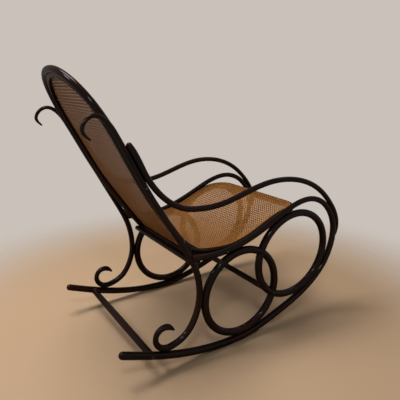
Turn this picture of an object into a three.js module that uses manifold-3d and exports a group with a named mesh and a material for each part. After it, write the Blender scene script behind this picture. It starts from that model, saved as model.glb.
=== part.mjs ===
// Bentwood rocking chair: steam-bent round rods in dark stained beech, with a caned seat and back.
// Lengths are in millimetres. +X is the way the sitter faces, +Y is the sitter's left, +Z is up.
// The chair is symmetric about the plane y = 0, and it stands on the two rockers.

import * as THREE from 'three';
import { mergeVertices } from 'three/addons/utils/BufferGeometryUtils.js';
import Module from 'manifold-3d';

const wasm = await Module();
wasm.setup();

// Overall sizes: the side frames are bent to one full-size drawing of this length and height
const frameLength = 970;
const frameHeight = 950;
const sideSpacing = 520;
const backWidthShare = 0.815;

// Thickness of the round rods at their fullest
const rockerDiameter = 26;
const postDiameter = 22;
const armDiameter = 19.5;
const ringDiameter = 27;
const ovalDiameter = 27;
const rearStretcherDiameter = 25;
const frontStretcherDiameter = 23;

// Back frame: a round bead outside, and a thinner inner band that takes the cane
const backFrameWidth = 36;
const backBeadDiameter = 22;
const backBandThickness = 11;
const backArchHeight = 202;
const backFlare = 7;
const hookFlare = 20;
const backBottomRailDiameter = 21;
const lowerCrossRailDiameter = 18;
const lowerCrossRailRaise = 10;
const lowerCrossRailShort = 4;

// Seat frame
const seatRailWidth = 22;
const seatRailHeight = 26;
const seatCornerRadius = 62;
const seatRearRailDiameter = 22;

// Cane panels
const caneThickness = 2;
const backCaneForward = 4.5;
const seatCaneRise = 8.5;
const seatCaneSag = 7;

// Joints and fixings
const seatGap = 0.3;
const tenonDiameter = 13;
const tenonLength = 9;
const screwHeadDiameter = 8;
const screwHeadDepth = 2.6;
const screwShankDiameter = 4.2;
const stretcherScrewReach = 18;
const seatScrewSpacing = 45;
const restFlatDepth = 0.5;
const overrun = 5;

// How finely the bends are stepped
const roundSides = 12;
const screwSides = 6;
const bendSag = 1.5;
const longestStep = 100;
const ringSteps = 28;
const archSteps = 9;
const seatCornerSteps = 5;
const directionSteps = 2000;
const turnSamples = 400;
const contactPasses = 60;
const scarfPasses = 12;
const halvings = 50;

// Stations of the bends: each row is [share of frame length, share of frame height,
// share of the rod's full thickness]
const rockerShares = [
  [0.013, 0.120, 0.96], [0.171, 0.058, 1.00], [0.295, 0.026, 1.00], [0.414, 0.012, 1.00],
  [0.531, 0.017, 1.00], [0.662, 0.052, 0.98], [0.790, 0.101, 0.96], [0.876, 0.154, 0.95],
  [0.934, 0.217, 0.94], [0.966, 0.292, 0.92], [0.969, 0.365, 0.90], [0.942, 0.429, 0.86],
  [0.890, 0.481, 0.82], [0.823, 0.506, 0.80], [0.752, 0.501, 0.78], [0.618, 0.447, 0.78],
  [0.486, 0.396, 0.78], [0.388, 0.379, 0.78],
];
const hookShares = [
  [-0.036, 0.800, 0.20], [-0.053, 0.823, 0.32], [-0.041, 0.851, 0.42], [-0.013, 0.863, 0.52],
  [0.015, 0.849, 0.60],
];
const besideLimbShares = [[0.800, 0.68], [0.740, 0.73], [0.670, 0.78], [0.605, 0.82]];
const legShares = [
  [0.183, 0.544, 0.88], [0.243, 0.436, 0.94], [0.280, 0.359, 1.00], [0.297, 0.287, 1.00],
  [0.297, 0.220, 1.00], [0.278, 0.159, 1.00],
];
const scrollShares = [
  [0.245, 0.110, 1.00], [0.201, 0.084, 1.00], [0.160, 0.082, 0.98], [0.134, 0.103, 0.92],
  [0.129, 0.138, 0.84], [0.146, 0.162, 0.72], [0.174, 0.164, 0.54], [0.194, 0.141, 0.26],
];
const armShares = [
  [0.206, 0.586, 0.96], [0.249, 0.559, 0.98], [0.318, 0.544, 1.00], [0.401, 0.547, 1.00],
  [0.524, 0.579, 1.00], [0.625, 0.600, 1.00], [0.712, 0.598, 1.00], [0.794, 0.577, 1.00],
  [0.870, 0.535, 1.00], [0.936, 0.472, 0.98],
];
const backShares = [
  [0.330, 0.342], [0.254, 0.446], [0.205, 0.519], [0.158, 0.591], [0.110, 0.680],
  [0.047, 0.804], [-0.003, 0.897], [-0.062, 0.998],
];
const seatShares = [
  [0.263, 0.429], [0.284, 0.404], [0.323, 0.384], [0.387, 0.376], [0.460, 0.379],
  [0.529, 0.396], [0.625, 0.437], [0.698, 0.463], [0.776, 0.472],
];

// How many stations along the seat it starts to widen, is at full width, and nears its front,
// and how many along the rocker the curl's foot, front and top come
const seatNarrowSteps = 2;
const seatWideSteps = 4;
const seatFrontSteps = 7;
const curlFootSteps = 5;
const curlFrontSteps = 10;
const curlTopSteps = 13;

// How far the post leans out from the back limb to the side frame, at each leg station
const legLeanShares = [0.16, 0.58, 0.88, 1.00, 1.00, 1.00];

// Heights on the post and the curl where the scarfed arm lies against them, and its thickness
const armRearShares = [[0.775, 0.34], [0.740, 0.62], [0.705, 0.84], [0.672, 0.94]];
const armFrontShares = [[0.420, 0.98], [0.385, 0.96], [0.352, 0.80], [0.326, 0.50]];

// Rings, joints and other places as shares of the frame's length or height
const lowerRingPlaceShare = 0.483;
const ovalPlaceShare = 0.737;
const ovalTiltDegrees = 15;
const ovalRoundnessShare = 0.92;
const loopSizeGuessShare = 0.17;
const loopHeightGuessShare = 0.25;
const rearStretcherShare = 0.111;
const rearStretcherSwellShare = 1.08;
const curlEndShare = 0.386;
const scrollTopShare = 0.12;
const limbScrewShare = 0.64;
const armRearScrewShare = 0.69;
const armFrontScrewShare = 0.362;
const screwReachShare = 0.7;
const railEndShare = 0.7;
const railRoundShare = 0.4;
const archFullness = 0.94;
const tipRoundShare = 0.9;
const tipShares = [0.5, 0.85, 1];
const caneAcrossShares = [-1, -0.5, 0, 0.5, 1];

// Sections of the shaped rails, as shares: the back's bead as turns from its outer side,
// and the seat rail as [share of width, share of height] from its middle
const beadTurnShares = [-1, -0.67, -0.33, 0, 0.33, 0.67, 1];
const seatOutlineShares = [
  [0.50, -0.27], [0.50, 0.27], [0.34, 0.44], [0.08, 0.50], [-0.50, 0.38], [-0.50, -0.32],
  [-0.28, -0.50], [0.22, -0.50],
];

const beech = { color: 0x2a1a14, roughness: 0.3, metalness: 0 };
const cane = { color: 0xb98d56, roughness: 0.6, metalness: 0 };
const steel = { color: 0x6e675c, roughness: 0.45, metalness: 1 };
const LEFT = new THREE.Vector3(0, 1, 0);

// Curves

function spanOf(places, u) {
  let i = 0;
  while (i < places.length - 2 && places[i + 1] < u) i += 1;
  return i;
}

// Natural cubic spline: the shape that a springy rod takes through its stations
function naturalCubic(places, values) {
  const count = places.length;
  const curve = new Array(count).fill(0);
  const ratio = new Array(count).fill(0);
  const load = new Array(count).fill(0);
  for (let i = 1; i < count - 1; i += 1) {
    const before = places[i] - places[i - 1];
    const after = places[i + 1] - places[i];
    const kink = (values[i + 1] - values[i]) / after - (values[i] - values[i - 1]) / before;
    const pivot = 2 * (before + after) - before * ratio[i - 1];
    ratio[i] = after / pivot;
    load[i] = (6 * kink - before * load[i - 1]) / pivot;
  }
  for (let i = count - 2; i > 0; i -= 1) curve[i] = load[i] - ratio[i] * curve[i + 1];
  return (u) => {
    const i = spanOf(places, u);
    const width = places[i + 1] - places[i];
    const a = (places[i + 1] - u) / width;
    const b = 1 - a;
    const bow = (a ** 3 - a) * curve[i] + (b ** 3 - b) * curve[i + 1];
    return a * values[i] + b * values[i + 1] + bow * width * width / 6;
  };
}

// Steady cubic: passes every station and never swings past it
function steadyCubic(places, values) {
  const rises = [];
  for (let i = 1; i < places.length; i += 1) {
    rises.push((values[i] - values[i - 1]) / (places[i] - places[i - 1]));
  }
  const slopes = values.map((_, i) => {
    if (i === 0) return rises[0];
    if (i === values.length - 1) return rises[i - 1];
    const [a, b] = [rises[i - 1], rises[i]];
    return a * b <= 0 ? 0 : 2 * a * b / (a + b);
  });
  return (u) => {
    const i = spanOf(places, u);
    const width = places[i + 1] - places[i];
    const t = THREE.MathUtils.clamp((u - places[i]) / width, 0, 1);
    const rise = values[i + 1] - values[i];
    const hold = slopes[i] * width;
    const land = slopes[i + 1] * width;
    return values[i] + t * (hold + t * (3 * rise - 2 * hold - land + t * (hold + land - 2 * rise)));
  };
}

// A bend through stations { x, y, z, r }, walked by the length of its chords in side view
function bendThrough(stations) {
  const places = [0];
  for (let i = 1; i < stations.length; i += 1) {
    const [a, b] = [stations[i - 1], stations[i]];
    places.push(places[i - 1] + Math.hypot(b.x - a.x, b.z - a.z));
  }
  const along = (key, rule) => rule(places, stations.map((station) => station[key]));
  const x = along('x', naturalCubic);
  const z = along('z', naturalCubic);
  const y = along('y', steadyCubic);
  const r = along('r', steadyCubic);
  const reach = places[places.length - 1];
  return {
    places,
    reach,
    point: (u) => new THREE.Vector3(x(u), y(u), z(u)),
    radius: (u) => r(THREE.MathUtils.clamp(u, 0, reach)),
  };
}

function directionOf(bend, u) {
  const step = bend.reach / directionSteps;
  const ahead = bend.point(Math.min(u + step, bend.reach));
  return ahead.sub(bend.point(Math.max(u - step, 0))).normalize();
}

// The normal of a bend in side view: forward or up for a rod that runs down or forward
function sideNormal(direction) {
  return new THREE.Vector3().crossVectors(direction, LEFT).normalize();
}

// The place on a bend where its height first passes a level, walking from one place to another
function placeAtHeight(bend, height, from, to) {
  const rising = bend.point(to).z > bend.point(from).z;
  let [low, high] = [from, to];
  for (let i = 0; i < halvings; i += 1) {
    const middle = (low + high) / 2;
    if ((bend.point(middle).z < height) === rising) low = middle;
    else high = middle;
  }
  return (low + high) / 2;
}

function placeAtLength(bend, x, from, to) {
  let [low, high] = [from, to];
  const growing = bend.point(to).x > bend.point(from).x;
  for (let i = 0; i < halvings; i += 1) {
    const middle = (low + high) / 2;
    if ((bend.point(middle).x < x) === growing) low = middle;
    else high = middle;
  }
  return (low + high) / 2;
}

// Steps along a bend, close together where it is tight, so that no chord leaves it by bendSag
function stepsAlong(bend, from, to) {
  const samples = turnSamples;
  const width = (to - from) / samples;
  const total = [0];
  for (let i = 0; i < samples; i += 1) {
    const u = from + (i + 0.5) * width;
    const turn = directionOf(bend, u - width / 2).angleTo(directionOf(bend, u + width / 2));
    total.push(total[i] + Math.sqrt(turn / width / (8 * bendSag)) * width + width / longestStep);
  }
  const count = Math.ceil(total[samples]);
  const places = [];
  for (let k = 0; k <= count; k += 1) {
    const goal = total[samples] * k / count;
    const i = spanOf(total, goal);
    places.push(from + (i + (goal - total[i]) / (total[i + 1] - total[i])) * width);
  }
  return places;
}

// Frames: where a section stands, which way it faces, and how thick it is there

function framesOf(bend, places) {
  return places.map((u) => {
    const direction = directionOf(bend, u);
    const normal = sideNormal(direction);
    const across = new THREE.Vector3().crossVectors(normal, direction);
    return { centre: bend.point(u), direction, normal, across, radius: bend.radius(u) };
  });
}

// A mitre keeps the flats of a stepped bend at their full distance from its centre line
function mitred(frames, closed) {
  const count = frames.length;
  return frames.map((frame, i) => {
    if (!closed && (i === 0 || i === count - 1)) return { ...frame, mitre: 1 };
    const before = frames[(i + count - 1) % count].centre;
    const after = frames[(i + 1) % count].centre;
    const arriving = frame.centre.clone().sub(before);
    const leaving = after.clone().sub(frame.centre);
    return { ...frame, mitre: 1 / Math.cos(arriving.angleTo(leaving) / 2) };
  });
}

// A rounded tip: three more frames that draw the section in beyond an end
function withTip(frames, atEnd) {
  const last = atEnd ? frames[frames.length - 1] : frames[0];
  const sign = atEnd ? 1 : -1;
  const tip = tipShares.map((share) => {
    const angle = share * Math.PI / 2 * tipRoundShare;
    const reach = sign * last.radius * Math.sin(angle);
    const centre = last.centre.clone().addScaledVector(last.direction, reach);
    return { ...last, centre, radius: last.radius * Math.cos(angle) };
  });
  return atEnd ? [...frames, ...tip] : [...tip.reverse(), ...frames];
}

// A closed loop in a side plane, an ellipse set at a tilt
function loopFrames({ x, y, z, long, tall, tilt, radius }) {
  const frames = [];
  for (let i = 0; i < ringSteps; i += 1) {
    const angle = 2 * Math.PI * (i + 0.5) / ringSteps;
    const [along, up] = [long * Math.cos(angle), tall * Math.sin(angle)];
    const [alongTurn, upTurn] = [-long * Math.sin(angle), tall * Math.cos(angle)];
    const turned = (a, b) => new THREE.Vector3(a * Math.cos(tilt) - b * Math.sin(tilt), 0,
      a * Math.sin(tilt) + b * Math.cos(tilt));
    const centre = turned(along, up).add(new THREE.Vector3(x, y, z));
    const direction = turned(alongTurn, upTurn).normalize();
    const normal = sideNormal(direction);
    const across = new THREE.Vector3().crossVectors(normal, direction);
    frames.push({ centre, direction, normal, across, radius });
  }
  return frames;
}

// Solids

// Skin over sections: every ring of points has the same count, and ends are fans
function skin(rings, closed) {
  const sides = rings[0].length;
  const positions = rings.flat().flatMap((point) => [point.x, point.y, point.z]);
  const index = [];
  const spans = closed ? rings.length : rings.length - 1;
  for (let i = 0; i < spans; i += 1) {
    const next = (i + 1) % rings.length;
    for (let j = 0; j < sides; j += 1) {
      const k = (j + 1) % sides;
      const [a, b] = [i * sides + j, i * sides + k];
      const [c, d] = [next * sides + k, next * sides + j];
      index.push(a, b, c, a, c, d);
    }
  }
  if (!closed) {
    const last = rings.length - 1;
    for (let j = 1; j < sides - 1; j += 1) {
      index.push(0, j + 1, j);
      index.push(last * sides, last * sides + j, last * sides + j + 1);
    }
  }
  const geometry = new THREE.BufferGeometry();
  geometry.setAttribute('position', new THREE.Float32BufferAttribute(positions, 3));
  geometry.setIndex(index);
  return outward(geometry);
}

function volumeOf(geometry) {
  const p = geometry.attributes.position;
  const at = (i) => new THREE.Vector3().fromBufferAttribute(p, i);
  let six = 0;
  for (let i = 0; i < geometry.index.count; i += 3) {
    const [a, b, c] = [0, 1, 2].map((k) => at(geometry.index.getX(i + k)));
    six += a.dot(b.cross(c));
  }
  return six / 6;
}

function outward(geometry) {
  if (volumeOf(geometry) > 0) return geometry;
  const index = Array.from(geometry.index.array);
  for (let i = 0; i < index.length; i += 3) {
    [index[i + 1], index[i + 2]] = [index[i + 2], index[i + 1]];
  }
  geometry.setIndex(index);
  return geometry;
}

// A round rod has flat facets that touch its true radius, two of them facing along the bend's
// normal and two facing across, so that rods in contact meet flat to flat
function rodSolid(frames, closed, grow = 0) {
  const corner = 1 / Math.cos(Math.PI / roundSides);
  const rings = mitred(frames, closed).map((frame) => {
    const ring = [];
    for (let j = 0; j < roundSides; j += 1) {
      const angle = 2 * Math.PI * (j + 0.5) / roundSides;
      const size = (frame.radius + grow) * corner;
      ring.push(frame.centre.clone()
        .addScaledVector(frame.normal, size * frame.mitre * Math.cos(angle))
        .addScaledVector(frame.across, size * Math.sin(angle)));
    }
    return ring;
  });
  return solidOf(skin(rings, closed));
}

// A shaped rail: its outline is [out, up] in real sizes from the rail's line
function railSolid(frames, outline) {
  const rings = frames.map((frame) => outline.map(([out, up]) => frame.centre.clone()
    .addScaledVector(frame.out, out * frame.mitre)
    .addScaledVector(frame.up, up)));
  return solidOf(skin(rings, false));
}

function solidOf(geometry) {
  const bare = geometry.clone();
  bare.deleteAttribute('normal');
  bare.deleteAttribute('uv');
  const merged = mergeVertices(bare, 1e-4);
  return new wasm.Manifold(new wasm.Mesh({
    numProp: 3,
    vertProperties: new Float32Array(merged.attributes.position.array),
    triVerts: new Uint32Array(merged.index.array),
  }));
}

function geometryOf(solid) {
  const mesh = solid.getMesh();
  const geometry = new THREE.BufferGeometry();
  geometry.setAttribute('position', new THREE.Float32BufferAttribute(mesh.vertProperties, 3));
  geometry.setIndex(Array.from(mesh.triVerts));
  geometry.computeVertexNormals();
  return geometry;
}

function boxSolid(low, high) {
  const size = high.clone().sub(low);
  const box = new THREE.BoxGeometry(size.x, size.y, size.z);
  const middle = low.clone().add(high).multiplyScalar(0.5);
  box.translate(middle.x, middle.y, middle.z);
  return solidOf(box);
}

// A turned piece along any line: the profile is [radius, distance along the line]
function turnedSolid(profile, start, direction, sides) {
  const points = profile.map(([radius, along]) => new THREE.Vector2(radius, along));
  const lathe = new THREE.LatheGeometry(points, sides);
  const turn = new THREE.Quaternion().setFromUnitVectors(LEFT, direction);
  lathe.applyQuaternion(turn);
  lathe.translate(start.x, start.y, start.z);
  const merged = new THREE.BufferGeometry();
  merged.setAttribute('position', lathe.attributes.position);
  merged.setIndex(lathe.index);
  return solidOf(outward(mergeVertices(merged, 1e-4)));
}

// Distances in side view

function gapFromPoint(point, radius, frames, closed) {
  let best = { gap: Infinity };
  const spans = closed ? frames.length : frames.length - 1;
  for (let i = 0; i < spans; i += 1) {
    const [a, b] = [frames[i], frames[(i + 1) % frames.length]];
    const [dx, dz] = [b.centre.x - a.centre.x, b.centre.z - a.centre.z];
    const along = ((point.x - a.centre.x) * dx + (point.z - a.centre.z) * dz) / (dx * dx + dz * dz);
    const t = THREE.MathUtils.clamp(along, 0, 1);
    const foot = a.centre.clone().lerp(b.centre, t);
    const other = a.radius + (b.radius - a.radius) * t;
    const gap = Math.hypot(point.x - foot.x, point.z - foot.z) - radius - other;
    if (gap < best.gap) best = { gap, foot, radius: other };
  }
  return best;
}

// The least gap between two stepped rods, with the places on their centre lines
function leastGap(first, second, firstClosed) {
  let best = { gap: Infinity };
  first.forEach((frame) => {
    const near = gapFromPoint(frame.centre, frame.radius, second, false);
    if (near.gap < best.gap) {
      best = { gap: near.gap, from: frame.centre, fromRadius: frame.radius,
        to: near.foot, toRadius: near.radius };
    }
  });
  second.forEach((frame) => {
    const near = gapFromPoint(frame.centre, frame.radius, first, firstClosed);
    if (near.gap < best.gap) {
      best = { gap: near.gap, from: near.foot, fromRadius: near.radius,
        to: frame.centre, toRadius: frame.radius };
    }
  });
  return best;
}

// Side frame, drawn in the plane y = 0 and set out to each side later

const stationsFrom = (shares, diameter) => shares.map(([alongShare, upShare, thickShare]) => ({
  x: alongShare * frameLength,
  y: 0,
  z: upShare * frameHeight,
  r: thickShare * diameter / 2,
}));

// Back profile, from the limbs' lower ends to the top of the arch
const backBend = bendThrough(stationsFrom(backShares.map((row) => [...row, 1]), backBeadDiameter));
const seatBend = bendThrough(stationsFrom(seatShares.map((row) => [...row, 1]), seatRailHeight));
const sidePlane = sideSpacing / 2;
const limbOuter = sidePlane * backWidthShare;
const limbLine = limbOuter - backFrameWidth / 2;

// The back widens a little towards its arch
const archStart = backBend.reach - backArchHeight - backFrameWidth / 2;
const flareAt = (u) => backFlare * (u / archStart) ** 2;

// Post: hook, stretch beside the back limb, leg, and the scroll that rests on the rocker
const hookCount = hookShares.length;
const besideCount = besideLimbShares.length;
const legStart = hookCount + besideCount;

function postStations(scrollDrop) {
  const beside = besideLimbShares.map(([upShare, thickShare]) => {
    const u = placeAtHeight(backBend, upShare * frameHeight, 0, backBend.reach);
    const spot = backBend.point(u);
    const r = thickShare * postDiameter / 2;
    return { x: spot.x, y: limbOuter + flareAt(u) + seatGap + r, z: spot.z, r };
  });
  const hook = stationsFrom(hookShares, postDiameter).map((station, i) => ({
    ...station,
    y: beside[0].y + hookFlare * (1 - i / hookCount),
  }));
  const lean = sidePlane - beside[beside.length - 1].y;
  const leg = stationsFrom(legShares, postDiameter).map((station, i) => ({
    ...station,
    y: sidePlane - (1 - legLeanShares[i]) * lean,
  }));
  const scroll = stationsFrom(scrollShares, postDiameter).map((station, i) => ({
    ...station,
    y: sidePlane,
    z: station.z - (i === 0 ? scrollDrop / 2 : scrollDrop),
  }));
  return [...hook, ...beside, ...leg, ...scroll];
}

// Rocker and curl are one long rod, and its rear end is coped against the leg
let scrollDrop = 0;
let postBend = bendThrough(postStations(scrollDrop));

function rockerStations() {
  const stations = stationsFrom(rockerShares, rockerDiameter).map((s) => ({ ...s, y: sidePlane }));
  const legFrom = postBend.places[legStart];
  const legTo = postBend.places[legStart + legShares.length - 1];
  const end = postBend.point(placeAtHeight(postBend, curlEndShare * frameHeight, legFrom, legTo));
  const last = stations[stations.length - 1];
  return [...stations, { x: end.x, y: sidePlane, z: end.z, r: last.r }];
}
let rockerBend = bendThrough(rockerStations());
const frontMost = rockerBend.places[curlFrontSteps];
const lowerRod = framesOf(rockerBend, stepsAlong(rockerBend, 0, frontMost));
const upperRod = framesOf(rockerBend, stepsAlong(rockerBend, frontMost, rockerBend.reach));

for (let pass = 0; pass < scarfPasses; pass += 1) {
  const from = postBend.places[legStart + legShares.length];
  const scroll = framesOf(postBend, stepsAlong(postBend, from, postBend.reach));
  scrollDrop += leastGap(scroll, lowerRod, false).gap - seatGap;
  postBend = bendThrough(postStations(scrollDrop));
}
rockerBend = bendThrough(rockerStations());
const rockerFrames = [...lowerRod, ...upperRod.slice(1)];
const postFrames = framesOf(postBend, stepsAlong(postBend, 0, postBend.reach));
const legFrames = postFrames.filter((frame) => frame.centre.z < curlEndShare * frameHeight);

// Lower ring: it fills the space between rocker and curl, and its rear side touches the leg
const ringShape = {
  x: lowerRingPlaceShare * frameLength,
  y: sidePlane,
  z: loopHeightGuessShare * frameHeight,
  long: loopSizeGuessShare * frameLength,
  tall: loopSizeGuessShare * frameLength,
  tilt: 0,
  radius: ringDiameter / 2,
};
for (let pass = 0; pass < contactPasses; pass += 1) {
  const loop = loopFrames(ringShape);
  const low = leastGap(loop, lowerRod, true).gap - seatGap;
  const high = leastGap(loop, upperRod, true).gap - seatGap;
  const rear = leastGap(loop, legFrames, true).gap - seatGap;
  ringShape.tall += (low + high) / 2;
  ringShape.z += (high - low) / 2;
  ringShape.long += rear;
}

// Front oval: it sits in the bend of the curl, above the rise of the rocker
const ovalShape = {
  x: ovalPlaceShare * frameLength,
  y: sidePlane,
  z: loopHeightGuessShare * frameHeight,
  long: loopSizeGuessShare * frameLength,
  tall: loopSizeGuessShare * frameLength,
  tilt: THREE.MathUtils.degToRad(ovalTiltDegrees),
  radius: ovalDiameter / 2,
};
for (let pass = 0; pass < contactPasses; pass += 1) {
  const loop = loopFrames(ovalShape);
  const low = leastGap(loop, lowerRod, true).gap - seatGap;
  const high = leastGap(loop, upperRod, true).gap - seatGap;
  ovalShape.long += (low + high) / 2;
  ovalShape.tall = ovalShape.long * ovalRoundnessShare;
  ovalShape.z += (high - low) / 2;
}
const ringFrames = loopFrames(ringShape);
const ovalFrames = loopFrames(ovalShape);

// Arm: scarfed against the front of the post, then over in one sweep and down the curl's outside
function armStations(scarf) {
  const postFrom = postBend.places[hookCount - 1];
  const postTo = postBend.places[legStart];
  const rear = armRearShares.map(([upShare, thickShare]) => {
    const u = placeAtHeight(postBend, upShare * frameHeight, postFrom, postTo);
    const radius = thickShare * armDiameter / 2;
    const away = postBend.radius(u) + radius + scarf.rear;
    const spot = postBend.point(u).addScaledVector(sideNormal(directionOf(postBend, u)), away);
    return { x: spot.x, y: postBend.point(u).y, z: spot.z, r: radius };
  });
  const front = armFrontShares.map(([upShare, thickShare]) => {
    const u = placeAtHeight(rockerBend, upShare * frameHeight, rockerBend.places[curlFootSteps],
      rockerBend.places[curlTopSteps]);
    const radius = thickShare * armDiameter / 2;
    const away = rockerBend.radius(u) + radius + scarf.front;
    const spot = rockerBend.point(u).addScaledVector(sideNormal(directionOf(rockerBend, u)), -away);
    return { x: spot.x, y: sidePlane, z: spot.z, r: radius };
  });
  const start = rear[rear.length - 1];
  const sweep = stationsFrom(armShares, armDiameter).map((station, i) => {
    const share = THREE.MathUtils.smoothstep(i + 1, 0, armShares.length);
    return { ...station, y: start.y + (sidePlane - start.y) * share };
  });
  return [...rear, ...sweep, ...front];
}
const scarf = { rear: seatGap, front: seatGap };
let armBend = bendThrough(armStations(scarf));
let armFrames = framesOf(armBend, stepsAlong(armBend, 0, armBend.reach));
for (let pass = 0; pass < scarfPasses; pass += 1) {
  scarf.rear += seatGap - leastGap(armFrames, postFrames, false).gap;
  scarf.front += seatGap - leastGap(armFrames, rockerFrames, false).gap;
  armBend = bendThrough(armStations(scarf));
  armFrames = framesOf(armBend, stepsAlong(armBend, 0, armBend.reach));
}

// Back and seat: rails that follow a curved surface, given by a profile and a half width

// A rail line in the surface: points are [half width with its sign, distance along the profile]
function railFrames(bend, points) {
  const spots = points.map(([side, u]) => {
    const direction = directionOf(bend, u);
    const spot = bend.point(u);
    return { centre: new THREE.Vector3(spot.x, side, spot.z), up: surfaceNormal(direction) };
  });
  return spots.map((spot, i) => {
    const before = spots[Math.max(i - 1, 0)].centre;
    const after = spots[Math.min(i + 1, spots.length - 1)].centre;
    const direction = after.clone().sub(before);
    direction.addScaledVector(spot.up, -direction.dot(spot.up)).normalize();
    const out = new THREE.Vector3().crossVectors(spot.up, direction);
    const arriving = spot.centre.clone().sub(before);
    const leaving = after.clone().sub(spot.centre);
    const ends = i === 0 || i === spots.length - 1;
    const mitre = ends ? 1 : 1 / Math.cos(arriving.angleTo(leaving) / 2);
    return { ...spot, direction, out, mitre };
  });
}

// The back's surface faces forward and the seat's faces up
function surfaceNormal(direction) {
  const normal = new THREE.Vector3().crossVectors(direction, LEFT).normalize();
  return normal.x + normal.z > 0 ? normal : normal.negate();
}

const limbPoints = stepsAlong(backBend, 0, archStart).map((u) => [limbLine + flareAt(u), u]);
const archHalf = limbLine + backFlare;
const backPoints = limbPoints.map(([side, u]) => [-side, u]);
for (let i = 1; i < 2 * archSteps; i += 1) {
  const angle = Math.PI * i / (2 * archSteps);
  const across = Math.sign(Math.cos(angle)) * Math.abs(Math.cos(angle)) ** archFullness;
  const rise = Math.sin(angle) ** archFullness;
  backPoints.push([-archHalf * across, archStart + backArchHeight * rise]);
}
backPoints.push(...limbPoints.reverse());
const backFrames = railFrames(backBend, backPoints);

// Outline of the back frame: the bead's facets, then the band's inner edge
const bead = backBeadDiameter / 2;
const beadLine = backFrameWidth / 2 - bead;
const bandJoin = Math.acos(-Math.sqrt(1 - (backBandThickness / backBeadDiameter) ** 2));
const backOutline = beadTurnShares.map((share) => [
  beadLine + bead * Math.cos(bandJoin * share),
  bead * Math.sin(bandJoin * share),
]);
backOutline.push([-backFrameWidth / 2, backBandThickness / 2]);
backOutline.push([-backFrameWidth / 2, -backBandThickness / 2]);

// Seat frame: the side rails lie inside the curls in front and outside the limbs behind
const seatFrontLength = seatShares[seatFrontSteps][0] * frameLength;
const curlNearSeat = upperRod.filter((frame) => frame.centre.x < seatFrontLength);
const curlRadius = Math.max(...curlNearSeat.map((frame) => frame.radius));
const seatRearLine = limbOuter + seatGap + seatRailWidth / 2;
const sideInner = Math.max(curlRadius, ringDiameter / 2, ovalDiameter / 2);
const seatFrontLine = sidePlane - sideInner - seatGap - seatRailWidth / 2;
const seatWidens = seatBend.places[seatNarrowSteps];
const seatWide = seatBend.places[seatWideSteps];
const seatLine = (u) => THREE.MathUtils.lerp(seatRearLine, seatFrontLine,
  THREE.MathUtils.smoothstep(u, seatWidens, seatWide));
const seatCornerStart = seatBend.reach - seatCornerRadius;
const seatHalf = stepsAlong(seatBend, 0, seatCornerStart).map((u) => [seatLine(u), u]);
for (let i = 1; i <= seatCornerSteps; i += 1) {
  const angle = Math.PI / 2 * i / seatCornerSteps;
  seatHalf.push([
    seatFrontLine - seatCornerRadius * (1 - Math.cos(angle)),
    seatCornerStart + seatCornerRadius * Math.sin(angle),
  ]);
}
const seatPoints = [...seatHalf, ...seatHalf.slice().reverse().map(([side, u]) => [-side, u])];
const seatFrames = railFrames(seatBend, seatPoints);
const seatOutline = seatOutlineShares.map(([outShare, upShare]) => [
  outShare * seatRailWidth,
  upShare * seatRailHeight,
]);

// Cross rails: plain ones butt between two rods, and one with free ends has them eased
function crossRail(centre, halfLength, radius, eased) {
  const end = eased ? radius * railEndShare : radius;
  const ease = eased ? radius * railRoundShare : 0;
  const half = [[end, halfLength], [0, halfLength]];
  if (eased) half.unshift([radius, halfLength - ease]);
  const other = half.map(([out, along]) => [out, -along]).reverse();
  return turnedSolid([...other, ...half], centre, LEFT, roundSides);
}

// A spot on the back's surface line, moved forward by a distance square to the surface
function besideBack(u, forward) {
  const spot = backBend.point(u);
  return spot.addScaledVector(surfaceNormal(directionOf(backBend, u)), forward).setY(0);
}
const bandInner = limbLine - backFrameWidth / 2;
const bottomRailPlace = backBottomRailDiameter / 2;
const bottomRailCentre = besideBack(bottomRailPlace, 0);
const lowerRailCentre = besideBack(bottomRailPlace + lowerCrossRailRaise,
  -(bead + seatGap + lowerCrossRailDiameter / 2));

// The seat's rear rail lies on the limbs' front faces, level with the side rails
const rearRailAway = bead + seatGap + seatRearRailDiameter / 2;
let [rearRailLow, rearRailHigh] = [0, backBend.reach / 2];
for (let i = 0; i < halvings; i += 1) {
  const middle = (rearRailLow + rearRailHigh) / 2;
  const spot = besideBack(middle, rearRailAway);
  const level = seatBend.point(placeAtLength(seatBend, spot.x, 0, seatBend.reach)).z;
  if (spot.z < level) rearRailLow = middle;
  else rearRailHigh = middle;
}
const rearRailCentre = besideBack(rearRailLow, rearRailAway);

// Cane panels: a thin sheet between the rails' inner faces, row by row, from the first rail
// frames whose inner edge passes the test that tells the panel from the cross rail behind it
function canePanel(frames, inward, isPanel, rise, sag) {
  const edges = frames.slice(0, Math.floor(frames.length / 2)).map((frame) => ({
    spot: frame.centre.clone().addScaledVector(frame.out, -inward * frame.mitre),
    up: frame.up,
  }));
  const rows = edges.filter(({ spot }) => isPanel(spot)).map(({ spot, up }) => {
    const faceRow = (face) => caneAcrossShares.map((share) => {
      const height = rise - sag * (1 - share * share) + face * caneThickness / 2;
      return new THREE.Vector3(spot.x, share * Math.abs(spot.y), spot.z)
        .addScaledVector(up, height);
    });
    return [...faceRow(1), ...faceRow(-1).reverse()];
  });
  return solidOf(skin(rows, false));
}

const seatCaneStart = rearRailCentre.x + seatRearRailDiameter / 2 + seatGap;
const seatCane = canePanel(seatFrames, seatRailWidth / 2 + seatGap,
  (spot) => spot.x > seatCaneStart, seatCaneRise, seatCaneSag);
const backCaneStart = bottomRailCentre.z + backBottomRailDiameter / 2 + seatGap;
const backCane = canePanel(backFrames, backFrameWidth / 2 + seatGap,
  (spot) => spot.z > backCaneStart, backCaneForward, 0);

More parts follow.
